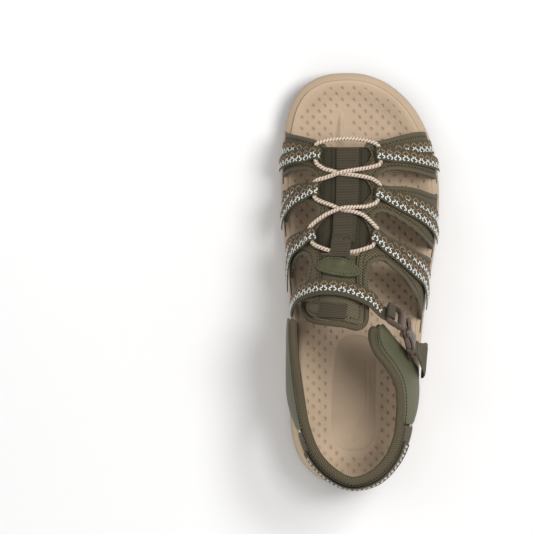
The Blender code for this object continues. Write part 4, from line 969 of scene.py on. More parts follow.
def footbed_top(x, y, loop):
    """The footbed's surface: dished and arched, with a rounded rim, pits, a toe ridge and a heel panel."""
    points = np.column_stack([x, y])
    from_edge = edge_distance(points, loop)
    t = np.clip(from_edge / DISH_WIDTH, 0, 1)
    dish = table_value(DISH_DEPTH, y) * t * t * (3 - 2 * t)
    arch = ARCH_RISE * np.exp(-((y - ARCH_Y) / ARCH_LENGTH) ** 2) * np.maximum(0.0, -x / 45.0) * t
    height = table_value(RIM_HEIGHT, y) - dish + arch
    lip = np.clip(1 - from_edge / LIP_WIDTH, 0, 1)
    height -= LIP_DROP * lip ** 2
    ridge_y = np.clip((RIDGE_TIP - y) / 17.0, 0, 1)
    ridge_half = 1.2 + 3.2 * ridge_y
    ridge = np.clip(1 - np.abs(x - RIDGE_X) / ridge_half, 0, 1)
    height += RIDGE_HEIGHT * smooth_step(0, 1, ridge) * smooth_step(0, 0.5, ridge_y) * smooth_step(84, 90, y)
    height -= PANEL_DEPTH * panel_depth(points)
    for line in HEEL_LINES:
        height -= LINE_DEPTH * np.exp(-(edge_distance(points, line, closed=False) / LINE_WIDTH) ** 2)
    return height - PIT_DEPTH * pits(x, y, from_edge)


def panel_depth(points):
    """1 on the recessed heel panel, falling to 0 over its bevelled edge."""
    gap = edge_distance(points, PANEL)
    return smooth_step(0.0, 1.1, np.where(inside(points, PANEL), gap, 0.0))


def pits(x, y, from_edge):
    """Staggered rows of small round pits, 1 at the middle of each."""
    row = np.round(y / PIT_ALONG)
    shift = np.where(row % 2 == 0, 0.0, PIT_ACROSS / 2)
    column = np.round((x - shift) / PIT_ACROSS)
    centre_x, centre_y = column * PIT_ACROSS + shift, row * PIT_ALONG
    distance = np.hypot((x - centre_x) * 1.2, (y - centre_y) * 0.9)
    shape = np.clip(1 - (distance / PIT_RADIUS) ** 2, 0, 1) ** 0.7
    on_ridge = (np.abs(centre_x - RIDGE_X) < 5.0) & (centre_y > 84) & (centre_y < 111)
    open_area = (from_edge > 3.6) & ~on_ridge
    middles = np.column_stack([centre_x, centre_y])
    near_panel = inside(middles, PANEL) | (edge_distance(middles, PANEL) < 2.5)
    return shape * open_area * ~near_panel


def lattice(low, high):
    """Sample places between two limits, close together round each row of pits."""
    steps = PIT_ALONG * np.array([-0.42, -0.27, -0.16, -0.055, 0.055, 0.16, 0.27, 0.42])
    rows = np.arange(math.floor(low / PIT_ALONG), math.ceil(high / PIT_ALONG) + 1) * PIT_ALONG
    places = (rows[:, None] + steps).ravel()
    return places[(places > low) & (places < high)]


def build_footbed():
    loop = inset(SOLE, FOOTBED_INSET)
    edge = inset(smooth_path(SOLE_OUTLINE, 360, closed=True), FOOTBED_INSET - SEAM_CLOSING)
    (left, back), (right, front) = edge.min(0), edge.max(0)
    x, y = np.meshgrid(lattice(left, right), lattice(back, front))
    grid = np.column_stack([x.ravel(), y.ravel()])
    rim = [inset(edge, d) for d in (0.25, 0.6, 1.1, 1.7)]
    grid = grid[inside(grid, inset(edge, 2.0))]
    points = np.vstack([edge, *rim, grid])
    sides = [(i, (i + 1) % len(edge)) for i in range(len(edge))]
    flat, _, triangles, *_ = geometry.delaunay_2d_cdt([Vector(p) for p in points], sides, [], 1, 1e-6)
    flat = np.array([tuple(p) for p in flat])
    count = len(flat)
    top = np.column_stack([flat, footbed_top(*flat.T, loop)])
    low = np.column_stack([edge, ledge(edge[:, 1]) - table_value(DISH_DEPTH, edge[:, 1]) + GAP])
    faces = [tuple(t) for t in triangles] + [(i, count + i, count + j, j) for i, j in sides]
    faces.append(tuple(range(count, count + len(edge))))
    vertices = np.vstack([top, low])
    piece = build("footbed_visual", vertices, faces, "footbed", vertices[:, :2], sharp=60)
    # Painted shade: the pits and the heel panel are darkened in the colour, the panel fully from its toe end
    # and fading out towards the heel's end.
    shade = 1 - PIT_SHADE * pits(*flat.T, edge_distance(flat, loop))
    shade *= 1 - PANEL_SHADE * panel_depth(flat) * smooth_step(-106, -84, flat[:, 1])
    tone = piece.data.attributes.new("tone", "FLOAT", "POINT")
    tone.data.foreach_set("value", np.concatenate([shade, np.ones(len(edge))]))
    place(piece, "sandal", "footbed_foam", "footbed")


def build_midsole():
    outline = smooth_path(SOLE_OUTLINE, 320, closed=True)

    def wall(share, rise=0.0):
        low = OUTSOLE_THICKNESS + BOND_GAP
        return lambda y: (ground_line(y) + low) * (1 - share) + ledge(y) * share + rise

    def floor(rise):
        return lambda y: ledge(y) - table_value(DISH_DEPTH, y) + rise

    stations = [(9.0, wall(0)), (1.4, wall(0)), (0.5, wall(0, 0.3)), (0.1, wall(0, 1.1)), (0.25, wall(0.22)),
                (0.75, wall(0.36)), (0.85, wall(0.44)), (0.75, wall(0.47)), (1.15, wall(0.49)),
                (1.15, wall(0.52)), (0.55, wall(0.54)), (0.15, wall(0.62)), (0.0, wall(0.78)),
                (0.0, wall(1, -1.6)), (0.2, wall(1, -0.5)), (0.7, wall(1, 0.6)), (1.5, wall(1, 1.6)),
                (2.6, wall(1, 2.6)), (3.6, wall(1, 3.3)), (4.3, wall(1, 3.6)), (4.65, wall(1, 3.4)),
                (4.7, floor(-0.2)), (9.0, floor(-0.4))]
    piece = ring_shell("midsole_visual", outline, stations, "midsole", sharp=35)
    place(piece, "sandal", "midsole_foam", "midsole")


def build_outsole():
    """Base plate with a rounded edge, and rows of chevron lugs parted by grooves."""
    outline = smooth_path(SOLE_OUTLINE, 320, closed=True)

    def level(rise):
        return lambda y: ground_line(y) + rise

    stations = [(9.0, level(2.2)), (2.0, level(2.2)), (1.2, level(2.6)), (1.0, level(3.4)), (1.0, level(4.6)),
                (1.5, level(5.0)), (9.0, level(5.0))]
    plate = ring_shell("outsole_visual", outline, stations, "outsole", sharp=35)
    place(plate, "sandal", "outsole_rubber", "outsole")
    inner = inset(smooth_path(SOLE_OUTLINE, 200, closed=True), 1.6)
    vertices, faces = [], []
    pitch, groove, columns = 9.2, 2.0, 5
    for row in range(-13, 14):
        y = row * pitch
        left, right = crossings(inner, y)
        width = (right - left) / columns
        for column in range(columns):
            a, b = left + width * column + groove / 2, left + width * (column + 1) - groove / 2
            add_lug(vertices, faces, a, b, y, pitch - groove, inner)
    lugs = build("outsole_lugs", vertices, faces, "outsole", sharp=30)
    place(lugs, "sandal", "outsole_rubber")


def add_lug(vertices, faces, left, right, y, length, outline):
    """One lug: a chevron block with bevelled edges, kept inside the outline."""
    middle, bend = (left + right) / 2, 1.6
    plan = [(left, y - length / 2), (middle, y - length / 2 + bend), (right, y - length / 2),
            (right, y + length / 2), (middle, y + length / 2 + bend), (left, y + length / 2)]
    plan = np.array(plan)
    for k, (x, py) in enumerate(plan):
        low, high = crossings(outline, min(max(py, outline[:, 1].min() + 0.3), outline[:, 1].max() - 0.3))
        plan[k, 0] = min(max(x, low), high)
    if plan[:, 0].max() - plan[:, 0].min() < 3:
        return
    centre = plan.mean(0)
    start = len(vertices)
    for shrink, rise in ((1.0, 2.6), (1.0, 0.5), (0.9, 0.0)):
        ring = centre + (plan - centre) * shrink
        vertices += [(px, py, float(ground_line(py)) + rise) for px, py in ring]
    faces += tube_faces(3, len(plan), start)


def build_sole():
    build_footbed()
    build_midsole()
    build_outsole()
    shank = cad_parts["shank"]
    shank.material_slots[0].material = LOOKS["shank"]


# ---- Forefoot upper

EDGE_ROLL, EYESTAY_ROLL = (2.9, 2.5), (1.8, 2.0)


def rim_gap(u, y, rim):
    return edge_distance(np.column_stack([u, y]), rim)


def at_height(height):
    """A sheet's face that stays at one height off the instep."""
    return lambda u, y: instep(u, y, height)


def roll_on_instep(name, line, height, size, look, look_slot):
    """A rolled edge along a line of surface units, at a height off the instep."""
    line = resampled(line, max(8, int(distances(line)[-1] / 0.9)))
    centres, normals = on_instep(line, height)
    piece = tube(name, centres, *framed(centres, normals), ellipse(*size, 14, 0.85), look, domed=3)
    return place(piece, "sandal", look_slot)


def offset_line(line, distance):
    """An open line in surface units moved to its left by a distance."""
    line = np.array(line, float)
    way = unit(np.gradient(line, axis=0))
    return line + np.column_stack([-way[:, 1], way[:, 0]]) * distance


def build_quarter(name, spec, side):
    """One quarter: spacer mesh with rolled edges, and a line of stitches inside each of them."""
    parts = [spec["front"], *spec["windows"], spec["rear"], spec["inner"][:-1]]
    outline = np.vstack([surface_path(part, 1.6) for part in parts])
    outline = outline[np.concatenate([[True], np.linalg.norm(np.diff(outline, axis=0), axis=1) > 0.05])]

    def crown(u, y):
        gap = rim_gap(u, y, outline)
        seam = 0.35 * np.exp(-((gap - 3.1) / 0.55) ** 2)
        return QUARTER_LAYER[1] + 0.15 * smooth_step(2.4, 4.5, gap) - seam

    piece = sheet(name + "_visual", outline, lambda u, y: instep(u, y, crown(u, y)),
                  at_height(QUARTER_LAYER[0] + 0.1), "quarter", 1.3)
    place(piece, "sandal", "quarter_knit", name)

    edges = [surface_path(e, 1.2) for e in (spec["inner"], spec["rear"], spec["front"], *spec["windows"])]
    seams = []
    for number, edge in enumerate(edges):
        edge = smooth_path(edge[::2], len(edge))
        middle_side = inside(offset_line(edge, 1.2 * side), outline)
        turn = 1.2 if np.mean(middle_side) > 0.5 else -1.2
        size, look = (EYESTAY_ROLL, "inner_edge") if number == 0 else (EDGE_ROLL, "edge")
        line = offset_line(edge, turn * side * size[0] / 2.5)
        roll_on_instep(f"{name}_edge_{number}", line, 0.95, size, look, "quarter_knit")
        seam = offset_line(edge, turn * side * 3.1 / 1.2)
        seam = seam[inside(seam, outline)]
        seams.append(on_instep(seam, QUARTER_LAYER[1] - 0.1))
    stitches(name + "_stitches", seams, "quarter_knit", 1.5, 0.9, 0.6, 0.45)


def build_gore():
    outline = to_surface(smooth_path(GORE_EDGE, 110, closed=True))

    def upper(u, y):
        folds = 0.25 * np.cos(u * 2 * math.pi / 16.0)
        return instep(u, y, GORE_LAYER[1] + folds)

    piece = sheet("stretch_gore_visual", outline, upper, at_height(GORE_LAYER[0]), "gore", 1.5)
    place(piece, "sandal", "gore_knit", "stretch_gore")
    seams = []
    for x in (-22.5, -17.8, 1.2, 5.8):
        line = to_surface(smooth_path([(x, 84), (x - 0.4, 50), (x - 1.5, 20)], 60))
        seams.append(on_instep(line, GORE_LAYER[1] + 0.3))
    stitches("gore_seams", seams, "gore_knit", 1.3, 0.6, 0.4, 0.3)


# ---- Patterned ribbon

MOTIF_PITCH, MOTIF_SWING, MOTIF_WAVE = 3.05, 0.80, 3.3
YARN_WIDTH, YARN_HEIGHT = 0.78, 0.30
# Where across a ribbon its white figures start, turn to tan, and end
RIBBON_FIGURES, STRAP_FIGURES, HEEL_FIGURES = (-3.2, 0.3, 3.3), (-2.6, 0.9, 4.0), (-1.6, 1.9, 4.6)


class Strip:
    """A flexible strip's centre line with its directions, read at any distance along it."""

    def __init__(self, centres, across, up, faces=None):
        self.along = distances(centres)
        self.parts = [np.asarray(a, float) for a in (centres, across, up)]
        # Which face shows: 1 the upper, -1 the lower
        self.faces = np.ones(len(centres)) if faces is None else np.asarray(faces, float)

    def at(self, s):
        centre, across, up = (
            np.column_stack([np.interp(s, self.along, c) for c in part.T]) for part in self.parts
        )
        return centre, unit(across), unit(up)

    def point(self, s, a, height):
        """Points at distances s, offsets a across, and heights off the face that shows."""
        centre, across, up = self.at(s)
        face = np.where(np.interp(s, self.along, self.faces) > 0, 1.0, -1.0)
        return centre + across * np.asarray(a)[:, None] + up * (face * height)[:, None], up * face[:, None]


def motif(strip, start, end, offsets, thickness, vertices, faces, slots):
    """Woven figures: wavy threads, each the mirror of the last, white then tan, on spots of blue."""
    low, change, high = offsets
    profile = np.array([(-0.5, 0.0), (-0.36, 0.75), (0.0, 1.0), (0.36, 0.75), (0.5, 0.0), (0.0, -0.4)])
    profile *= YARN_WIDTH, YARN_HEIGHT
    for number in range(int((end - start) / MOTIF_PITCH)):
        turn = 1 if number % 2 else -1
        middle = start + (number + 0.5) * MOTIF_PITCH - 0.1 * turn
        for part, (a0, a1) in enumerate(((low, change), (change, high))):
            a = np.linspace(a0, a1, 19 if part == 0 else 14)
            swing = np.sin(2 * math.pi * ((a - low) / MOTIF_WAVE - 0.08))
            s = middle + turn * MOTIF_SWING * np.sign(swing) * np.abs(swing) ** 0.6
            points, normals = strip.point(s, a, thickness / 2 + 0.02)
            way = unit(np.gradient(points, axis=0))
            side = unit(np.cross(normals, way))
            begin = len(vertices)
            taper = np.ones(len(a))
            taper[0] = taper[-1] = 0.6
            if part:
                taper *= 0.85
            for p, d, n, k in zip(points, side, normals, taper):
                vertices.extend(p + d * q[0] * k + n * q[1] * k for q in profile)
            new = tube_faces(len(a), len(profile), begin)
            faces.extend(new)
            slots.extend([1 + part] * len(new))
        for share, reach in ((0.25, 1.25), (0.75, 0.8)) if turn > 0 else ():
            t = 2 * math.pi * np.arange(12) / 12
            points, _ = strip.point(middle - MOTIF_PITCH / 2 + reach * np.cos(t),
                                    low + MOTIF_WAVE * share + 0.95 * np.sin(t), thickness / 2 + 0.05)
            faces.append(tuple(range(len(vertices), len(vertices) + 12)))
            vertices.extend(points)
            slots.append(3)


def ribbon(name, strip, width, thickness, figures):
    """A woven ribbon with a raised selvedge; figures lists (start, end, offsets) of the patterned runs."""
    length = strip.along[-1]
    s = np.linspace(0, length, max(12, int(length / 0.8)))
    centre, across, up = strip.at(s)
    profile = strap_profile(width, thickness, 12, 0.35)
    points = swept(centre, across, up, profile)
    rows, columns = points.shape[:2]
    faces = tube_faces(rows, columns)
    vertices = list(points.reshape(-1, 3))
    surface = list(paired(profile[:, 0], s[:, None]))
    slots = [0] * len(faces)
    for start, end, offsets in figures:
        motif(strip, start, end, offsets, thickness, vertices, faces, slots)
    surface += [(0.0, 0.0)] * (len(vertices) - len(surface))
    return build(name, vertices, faces, ["ribbon", "white_yarn", "tan_yarn", "blue_yarn"], surface, slots)


def nearest_normal(points):
    """The instep's normal under points near it."""
    tries = np.linspace(-ARC_UNITS, ARC_UNITS, 113)
    found = []
    for p in points:
        line = instep_bare(tries, np.full(len(tries), p[1]))
        found.append((tries[np.argmin(np.linalg.norm(line - p, axis=1))], p[1]))
    return instep_normal(*np.array(found).T)


def eye_frame(spec):
    """Middle of a loop's eye, the instep's normal there, and the way through it."""
    place_on = to_surface([spec["eye"]])[0]
    normal = instep_normal(*place_on)
    turn = math.radians(spec["turn"])
    way = np.array([math.sin(turn), math.cos(turn), 0.0])
    return instep(*place_on, EYE_HEIGHT), normal, unit(way - normal * (way @ normal))


def build_loop(name, spec):
    side = -1 if spec["eye"][0] < CREST_X else 1
    middle, normal, through = eye_frame(spec)
    outward = np.cross(through, normal) * side

    def tail(points, foot_y, rest, lift):
        route = np.vstack([to_surface([spec["eye"]] + points), [side * ARC_UNITS * 0.985, foot_y]])
        line = smooth_path(route, 60)
        s = distances(line)
        height = rest + lift * np.clip(1 - (s - 3.0) / 8.0, 0, 1) ** 2
        return instep(line[2:, 0], line[2:, 1], height[2:])

    upper = tail(spec["upper"], spec["upper_foot"], UPPER_TAIL, EYE_HEIGHT + EYE_RADIUS - UPPER_TAIL)
    under = tail(spec["under"], spec["under_foot"], UNDER_TAIL, 0.0)
    t = np.linspace(0, math.pi, 16)[:, None]
    fold = middle + EYE_RADIUS * (np.cos(t) * normal - np.sin(t) * outward)
    centres = np.vstack([upper[::-1], fold, under])
    way = directions(centres)
    flats = np.vstack([np.cross(nearest_normal(upper[::-1]), -way[:len(upper)]),
                       np.repeat(np.cross(normal, outward)[None], len(fold), 0),
                       np.cross(nearest_normal(under), way[-len(under):])])
    across = turned_to(unit(flats), len(upper), (0, 1, 0))
    up = turned_to(unit(np.cross(across, way)), 5, nearest_normal(centres[5:6])[0])
    shows = np.concatenate([np.ones(len(upper) + len(fold) - 4), -np.ones(len(under) + 4)])
    strip = Strip(centres, across, up, shows)
    turn_s = strip.along[len(upper) + len(fold) - 5]
    figures = [(0.8, turn_s, RIBBON_FIGURES), (turn_s + 1.0, strip.along[-1] - 1.0, RIBBON_FIGURES)]
    piece = ribbon(name + "_visual", strip, RIBBON_WIDTH, RIBBON_THICKNESS, figures)
    place(piece, "sandal", "ribbon_weave", name)


# ---- Cord

def build_cord():
    route = []
    for stop in CORD_ROUTE:
        if isinstance(stop[0], str):
            middle, _, way = eye_frame(LOOPS[EYE[stop[0]]])
            route += [middle + way * stop[1] * reach for reach in np.linspace(-EYE_HALF, EYE_HALF, 5)]
        else:
            route.append(instep(*to_surface([stop[:2]])[0], stop[2]))
    centres = smooth_path(smooth_path(route, 100), 620)
    frames = framed(centres, nearest_normal(centres))
    size = CORD_DIAMETER + BRAID_RELIEF
    piece = tube("bungee_cord_visual", centres, *frames, ellipse(size, size, 14), "cord", 3, True)
    place(piece, "sandal", "cord_braid", "bungee_cord")


# ---- Centre webbing and label

WEBBING_STEP, WEBBING_PITCH = 0.26, 1.3  # distance between samples along webbing, and between its ribs


def ribs(along, pitch):
    """Rounded ribs from 0 to 1 at distances along a strap."""
    return np.abs(np.sin(math.pi * along / pitch)) ** 0.7


def ribbed_profile(width, thickness, points, along, rib):
    """A flat bar's profile at each distance along it, raised by ribs inside its selvedges."""
    base = strap_profile(width, thickness, points, 0.5)
    profile = np.repeat(base[None], len(along), 0)
    inner = np.abs(base[:, 0]) < width / 2 - 1.0
    profile[:, inner, 1] += np.sign(base[inner, 1])[None] * rib * ribs(along, WEBBING_PITCH)[:, None]
    return profile


def grosgrain(name, route, width, thickness):
    """Ribbed webbing along plan stations (x, y, height), with real cross ribs."""
    line = smooth_path([(*to_surface([(x, y)])[0], h) for x, y, h in route], 60)
    line = resampled(line, int(distances(line)[-1] / WEBBING_STEP))
    centres, normals = on_instep(line[:, :2], line[:, 2])
    profile = ribbed_profile(width, thickness, 16, distances(centres), 0.26)
    return tube(name, centres, *framed(centres, normals), profile, "webbing")


def build_webbing():
    route = [(-7.6, 84, 0.45), (-7.9, 56, 0.45), (-8.6, 44, 0.45), (-9.6, 33, 0.5), (-10.4, 24, 0.5)]
    webbing = grosgrain("centre_webbing_visual", route, 14.2, 0.9)
    place(webbing, "sandal", "webbing_grosgrain", "centre_webbing")
    route = [(-9.9, 47.5, 1.0), (-10.4, 40, 1.5), (-10.8, 31, 1.5), (-11.2, 26, 2.2), (-11.7, 22.3, 4.4),
             (-12.0, 19, 4.75), (-12.2, 15.4, 4.3), (-12.3, 13.2, 3.9)]
    keeper = grosgrain("cord_keeper", route, 12.6, 0.95)
    place(keeper, "sandal", "webbing_grosgrain")
    seam = to_surface(smooth_path([(-16.2, 24.6), (-11.4, 24.0), (-6.8, 24.3)], 20))
    stitches("keeper_stitches", [on_instep(seam, 4.45)], "webbing_grosgrain", 1.3, 0.9)


def build_label():
    outline = smooth_path(LABEL_EDGE, 90, closed=True)
    rim = to_surface(outline)

    def moulded_top(u, y):
        gap = rim_gap(u, y, rim)
        rise = -0.8 * np.exp(-gap / 0.35) + 0.22 * np.exp(-((gap - 0.9) / 0.45) ** 2)
        return instep(u, y, LABEL_LAYER[1] + rise + 0.3 * smooth_step(1.6, 4.0, gap))

    label = sheet("label_patch_visual", rim, moulded_top, at_height(LABEL_LAYER[0]), "label", 0.8)
    place(label, "sandal", "label_rubber", "label_patch")
    seam = to_surface(inset(outline, 1.7))
    seam = np.vstack([seam, seam[:1]])
    stitches("label_stitches", [on_instep(seam, LABEL_LAYER[1] + 0.1)], "label_rubber", 1.2, 1.0)


# ---- Tongue, tab and ankle strap

def build_tongue():
    edge = inset(smooth_path(TONGUE_EDGE, 130, closed=True), 2.2)
    outline = to_surface(edge)

    def crown(u, y):
        gap = rim_gap(u, y, outline)
        seam = 0.5 * np.exp(-((gap - 2.8) / 0.7) ** 2)
        return instep(u, y, TONGUE_LAYER[1] + 0.7 * smooth_step(0, 9, gap) - seam - 0.9 * np.exp(-gap / 0.6))

    def belly(u, y):
        gap = rim_gap(u, y, outline)
        return instep(u, y, TONGUE_LAYER[0] - 0.8 * smooth_step(0, 9, gap) + 0.9 * np.exp(-gap / 0.6))

    pad = sheet("tongue_pad_visual", outline, crown, belly, "tongue", 1.2)
    place(pad, "sandal", "tongue_mesh", "tongue_pad")
    rolled = to_surface(smooth_path(TONGUE_EDGE[2:-2], 130))
    line = resampled(rolled, int(distances(rolled)[-1] / 0.3))
    centres, normals = on_instep(line, sum(TONGUE_LAYER) / 2)
    roll = ribbed_roll(centres, 3.4, 4.4)
    piece = tube("tongue_binding_visual", centres, *framed(centres, normals), roll, "binding", domed=3)
    place(piece, "sandal", "binding_knit", "tongue_binding")
    seam = to_surface(inset(smooth_path(TONGUE_EDGE, 130, closed=True), 4.9)[20:-12])
    stitches("tongue_stitches", [on_instep(seam, TONGUE_LAYER[1] + 0.35)], "tongue_mesh", 1.4, 0.8)


def ribbed_roll(centres, width, height, pitch=1.25, depth=0.16, lean=1.3):
    """A round profile for each centre, with ribs that lean round the roll."""
    base = ellipse(width, height, 16, 0.92)
    along = distances(centres)
    turn = np.arange(16) / 16 * 2 * math.pi
    ribs = np.sin(2 * math.pi * along[:, None] / pitch + lean * np.cos(turn)[None])
    return base[None] * (1 + depth / width * ribs)[..., None]


def build_tab():
    """Grosgrain loop folded flat: ribs across it and a rounded fold at its lower edge, on the tab's own body.
    """
    a, b, c, d = np.array(TAB_EDGE, float)
    rows, columns = 90, 18
    v, u = np.meshgrid(np.linspace(0, 1, rows), np.linspace(0, 1, columns), indexing="ij")
    plan = (a * (1 - u[..., None]) + b * u[..., None]) * (1 - v[..., None])
    plan = plan + (d * (1 - u[..., None]) + c * u[..., None]) * v[..., None]
    flat = to_surface(plan.reshape(-1, 2))
    rib = 0.12 * ribs(v.ravel() * TAB_LENGTH, 1.05)
    edge = np.minimum(np.minimum(u, 1 - u) * TAB_WIDTH / 0.6, (1 - v) * TAB_LENGTH / 0.8)
    middle, half = sum(TAB_LAYER) / 2, (TAB_LAYER[1] - TAB_LAYER[0]) / 2
    puff = half * edge_curve(edge.ravel(), 0.95)
    top = instep(*flat.T, middle + puff + rib)
    low = instep(*flat.T, middle - puff)
    surface = np.column_stack([u.ravel() * TAB_WIDTH, v.ravel() * TAB_LENGTH])
    tab = plate("pull_tab_visual", top, low, rows, columns, "webbing", surface)
    place(tab, "tab", "webbing_grosgrain", "pull_tab")


def build_ankle_strap():
    route = np.vstack([[(-ARC_UNITS * 0.985, ANKLE_FOOT_Y)], to_surface(ANKLE_ROUTE)])
    heights = [ANKLE_HEIGHT - 1.6 * max(0.0, 1 - i / 3) for i in range(len(route))]
    on_instep = smooth_path(smooth_path(instep(*route.T, heights), 24), 120)
    turn = STRAP_TURN
    bend = np.linspace(0, math.pi, 20)
    approach = on_plug([(s, 0, -turn) for s in (-6.0, -4.5, -3.0, -1.5)])
    round_bar = on_plug(np.column_stack([turn * np.sin(bend), 0 * bend, -turn * np.cos(bend)]))
    back = on_plug([(s, 0, turn) for s in (-1.0, -2.0, -3.0, -4.0)])
    centres = np.vstack([on_instep, approach, round_bar, back])
    centres = np.vstack([smooth_path(centres[:len(on_instep) + 4:3], 150), centres[len(on_instep) + 4:]])
    way = directions(centres)
    count = len(centres) - len(round_bar) - len(back)
    t = smooth_step(count - 30, count, np.arange(len(centres)))[:, None]
    flat = unit(np.cross(nearest_normal(centres), way))
    bar = BUCKLE_ACROSS - way * (way @ BUCKLE_ACROSS)[:, None]
    flat = turned_to(flat, 0, BUCKLE_ACROSS)
    across = unit(flat * (1 - t) + unit(bar) * t)
    up = turned_to(unit(np.cross(way, across)), 40, nearest_normal(centres[40:41])[0])
    across = turned_to(across, 60, (0, 1, 0))
    strip = Strip(centres, across, up)
    length = strip.along[-1]
    folded = length - 15.0
    figures = [(1.0, folded, STRAP_FIGURES), (length - 7.6, length - 1.0, STRAP_FIGURES)]
    piece = ribbon("ankle_strap_visual", strip, ANKLE_WIDTH, ANKLE_THICKNESS, figures)
    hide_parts("ankle_strap")
    tuple(on_plug([(-4.0, 0, 0)])[0] * MM)
    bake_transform(piece)


# ---- Buckle

def buckle_part(name, outline, half_height, bevel, holes=(), offset=(0, 0), spacing=0.8, to_world=on_buckle):
    """A moulded plate in the buckle's axes, with rounded edges; half_height is a function of both."""
    loops = [outline, *holes]

    def rounded(s, w):
        gap = np.min([rim_gap(s, w, loop) for loop in loops], axis=0)
        return half_height(s, w) - bevel * (1 - edge_curve(gap / bevel))

    def face(sign):
        return lambda s, w: to_world(np.column_stack([s + offset[0], w + offset[1], sign * rounded(s, w)]))

    return sheet(name, outline, face(1), face(-1), "buckle", spacing, holes, sharp=60)


def rounded_loop(corners, radius, steps=5):
    """A closed outline with every corner rounded."""
    corners = np.array(corners, float)
    made = []
    for before, corner, after in zip(np.roll(corners, 1, 0), corners, np.roll(corners, -1, 0)):
        reach = min(radius, 0.45 * np.linalg.norm(before - corner), 0.45 * np.linalg.norm(after - corner))
        a, b = corner + unit(before - corner) * reach, corner + unit(after - corner) * reach
        for t in np.linspace(0, 1, steps):
            made.append((1 - t) ** 2 * a + 2 * t * (1 - t) * corner + t * t * b)
    return dense(np.array(made), 0.7)


def dense(loop, spacing):
    """A closed outline with points added along its long sides."""
    made = []
    for a, b in zip(loop, np.roll(loop, -1, 0)):
        count = max(1, int(np.linalg.norm(b - a) / spacing))
        made += [a + (b - a) * i / count for i in range(count)]
    return np.array(made)


def mirrored(side):
    """A closed outline from one side of the buckle."""
    return side + [(s, -w) for s, w in side[::-1]]


def cross_window(start, end, half):
    """A window across the buckle, from start to end along it."""
    return [(start, -half), (end, -half), (end, half), (start, half)]


def build_buckle():
    outline = rounded_loop(mirrored(PLUG_EDGE), 1.3)
    window = rounded_loop(cross_window(*PLUG_WINDOW), 0.6)

    def plug_height(s, w):
        base = PLUG_THIN + (PLUG_HALF - PLUG_THIN) * np.clip(14.0 - s, 0, 1)
        rail = 0.7 * smooth_step(5.7, 6.3, np.abs(w)) * (1 - smooth_step(8.5, 10.5, s))
        return base + rail + 0.6 * smooth_step(7.5, 8.4, s) * (1 - smooth_step(11.0, 12.5, s))

    plug = buckle_part("buckle_plug_visual", outline, plug_height, 0.6, [window], to_world=on_plug)
    place(plug, "plug", "buckle_plastic", "buckle_plug")

    def grip(s, w):
        ridges = 0.22 * np.maximum(0, np.sin(2 * math.pi * s / 1.6)) * smooth_step(7.5, 8.5, s)
        return LATCH_HALF + ridges * (1 - smooth_step(12.5, 13.5, s))

    for name, body, side in (("latch_arm_front", "front_latch", 1), ("latch_arm_rear", "rear_latch", -1)):
        loop = rounded_loop([(s, w * side) for s, w in LATCH_EDGE], 0.9)
        pivot = LATCH_PIVOT[0], side * LATCH_PIVOT[1]
        piece = buckle_part(name + "_visual", loop, grip, 0.45, offset=pivot, spacing=0.5)
        place(piece, body, "buckle_plastic", name)
    build_socket()


def build_socket():
    """Two curved shell walls with a raised spine, joined at the closed end round the anchor strap's bar."""
    end, half = SOCKET_END, SOCKET_HALF_WIDTH
    side = [(18.2, 1.6), (SOCKET_MOUTH + 0.2, 4.4), (SOCKET_MOUTH, 6.4), (16.6, half), (19.4, 6.6),
            (21.4, 4.6), (26.6, 4.3), (29.2, 5.6), (31.0, 6.8), (end - 1.5, half), (end, half - 1.5)]
    outline = rounded_loop(mirrored(side), 1.3)
    slot = rounded_loop(cross_window(*SOCKET_SLOT), 0.8)

    def shell(s, w):
        base = SOCKET_HALF - 1.2 * smooth_step(33.5, 36.5, s)
        ring = (np.hypot(s - 12.0, w * 0.95) - 7.8) / 0.9
        mouth = 0.6 * np.exp(-ring ** 2) * (1 - smooth_step(22, 25, s))
        spine = 0.5 * np.exp(-(w / 2.0) ** 2) * smooth_step(20.0, 23.0, s) * (1 - smooth_step(28.0, 32.0, s))
        return base + mouth + spine

    socket = buckle_part("buckle_socket_visual", outline, shell, 0.9, [slot])
    low, high = SOCKET_MOUTH - 4, CAVITY_END
    cavity = [(s, w, h) for s in (low, high) for w in (-14, 14) for h in (-CAVITY_HALF, CAVITY_HALF)]
    sides = [(0, 1, 3, 2), (4, 6, 7, 5), (0, 4, 5, 1), (2, 3, 7, 6), (0, 2, 6, 4), (1, 5, 7, 3)]
    cutter = build("cavity_cutter", on_buckle(cavity), sides, "buckle")
    modifier = socket.modifiers.new("cavity", "BOOLEAN")
    modifier.operation, modifier.solver, modifier.object = "DIFFERENCE", "EXACT", cutter
    graph = bpy.context.evaluated_depsgraph_get()
    hollow = bpy.data.meshes.new_from_object(socket.evaluated_get(graph))
    socket.modifiers.clear()
    socket.data = hollow
    bpy.data.objects.remove(cutter, do_unlink=True)
    place(socket, "sandal", "buckle_plastic", "buckle_socket")


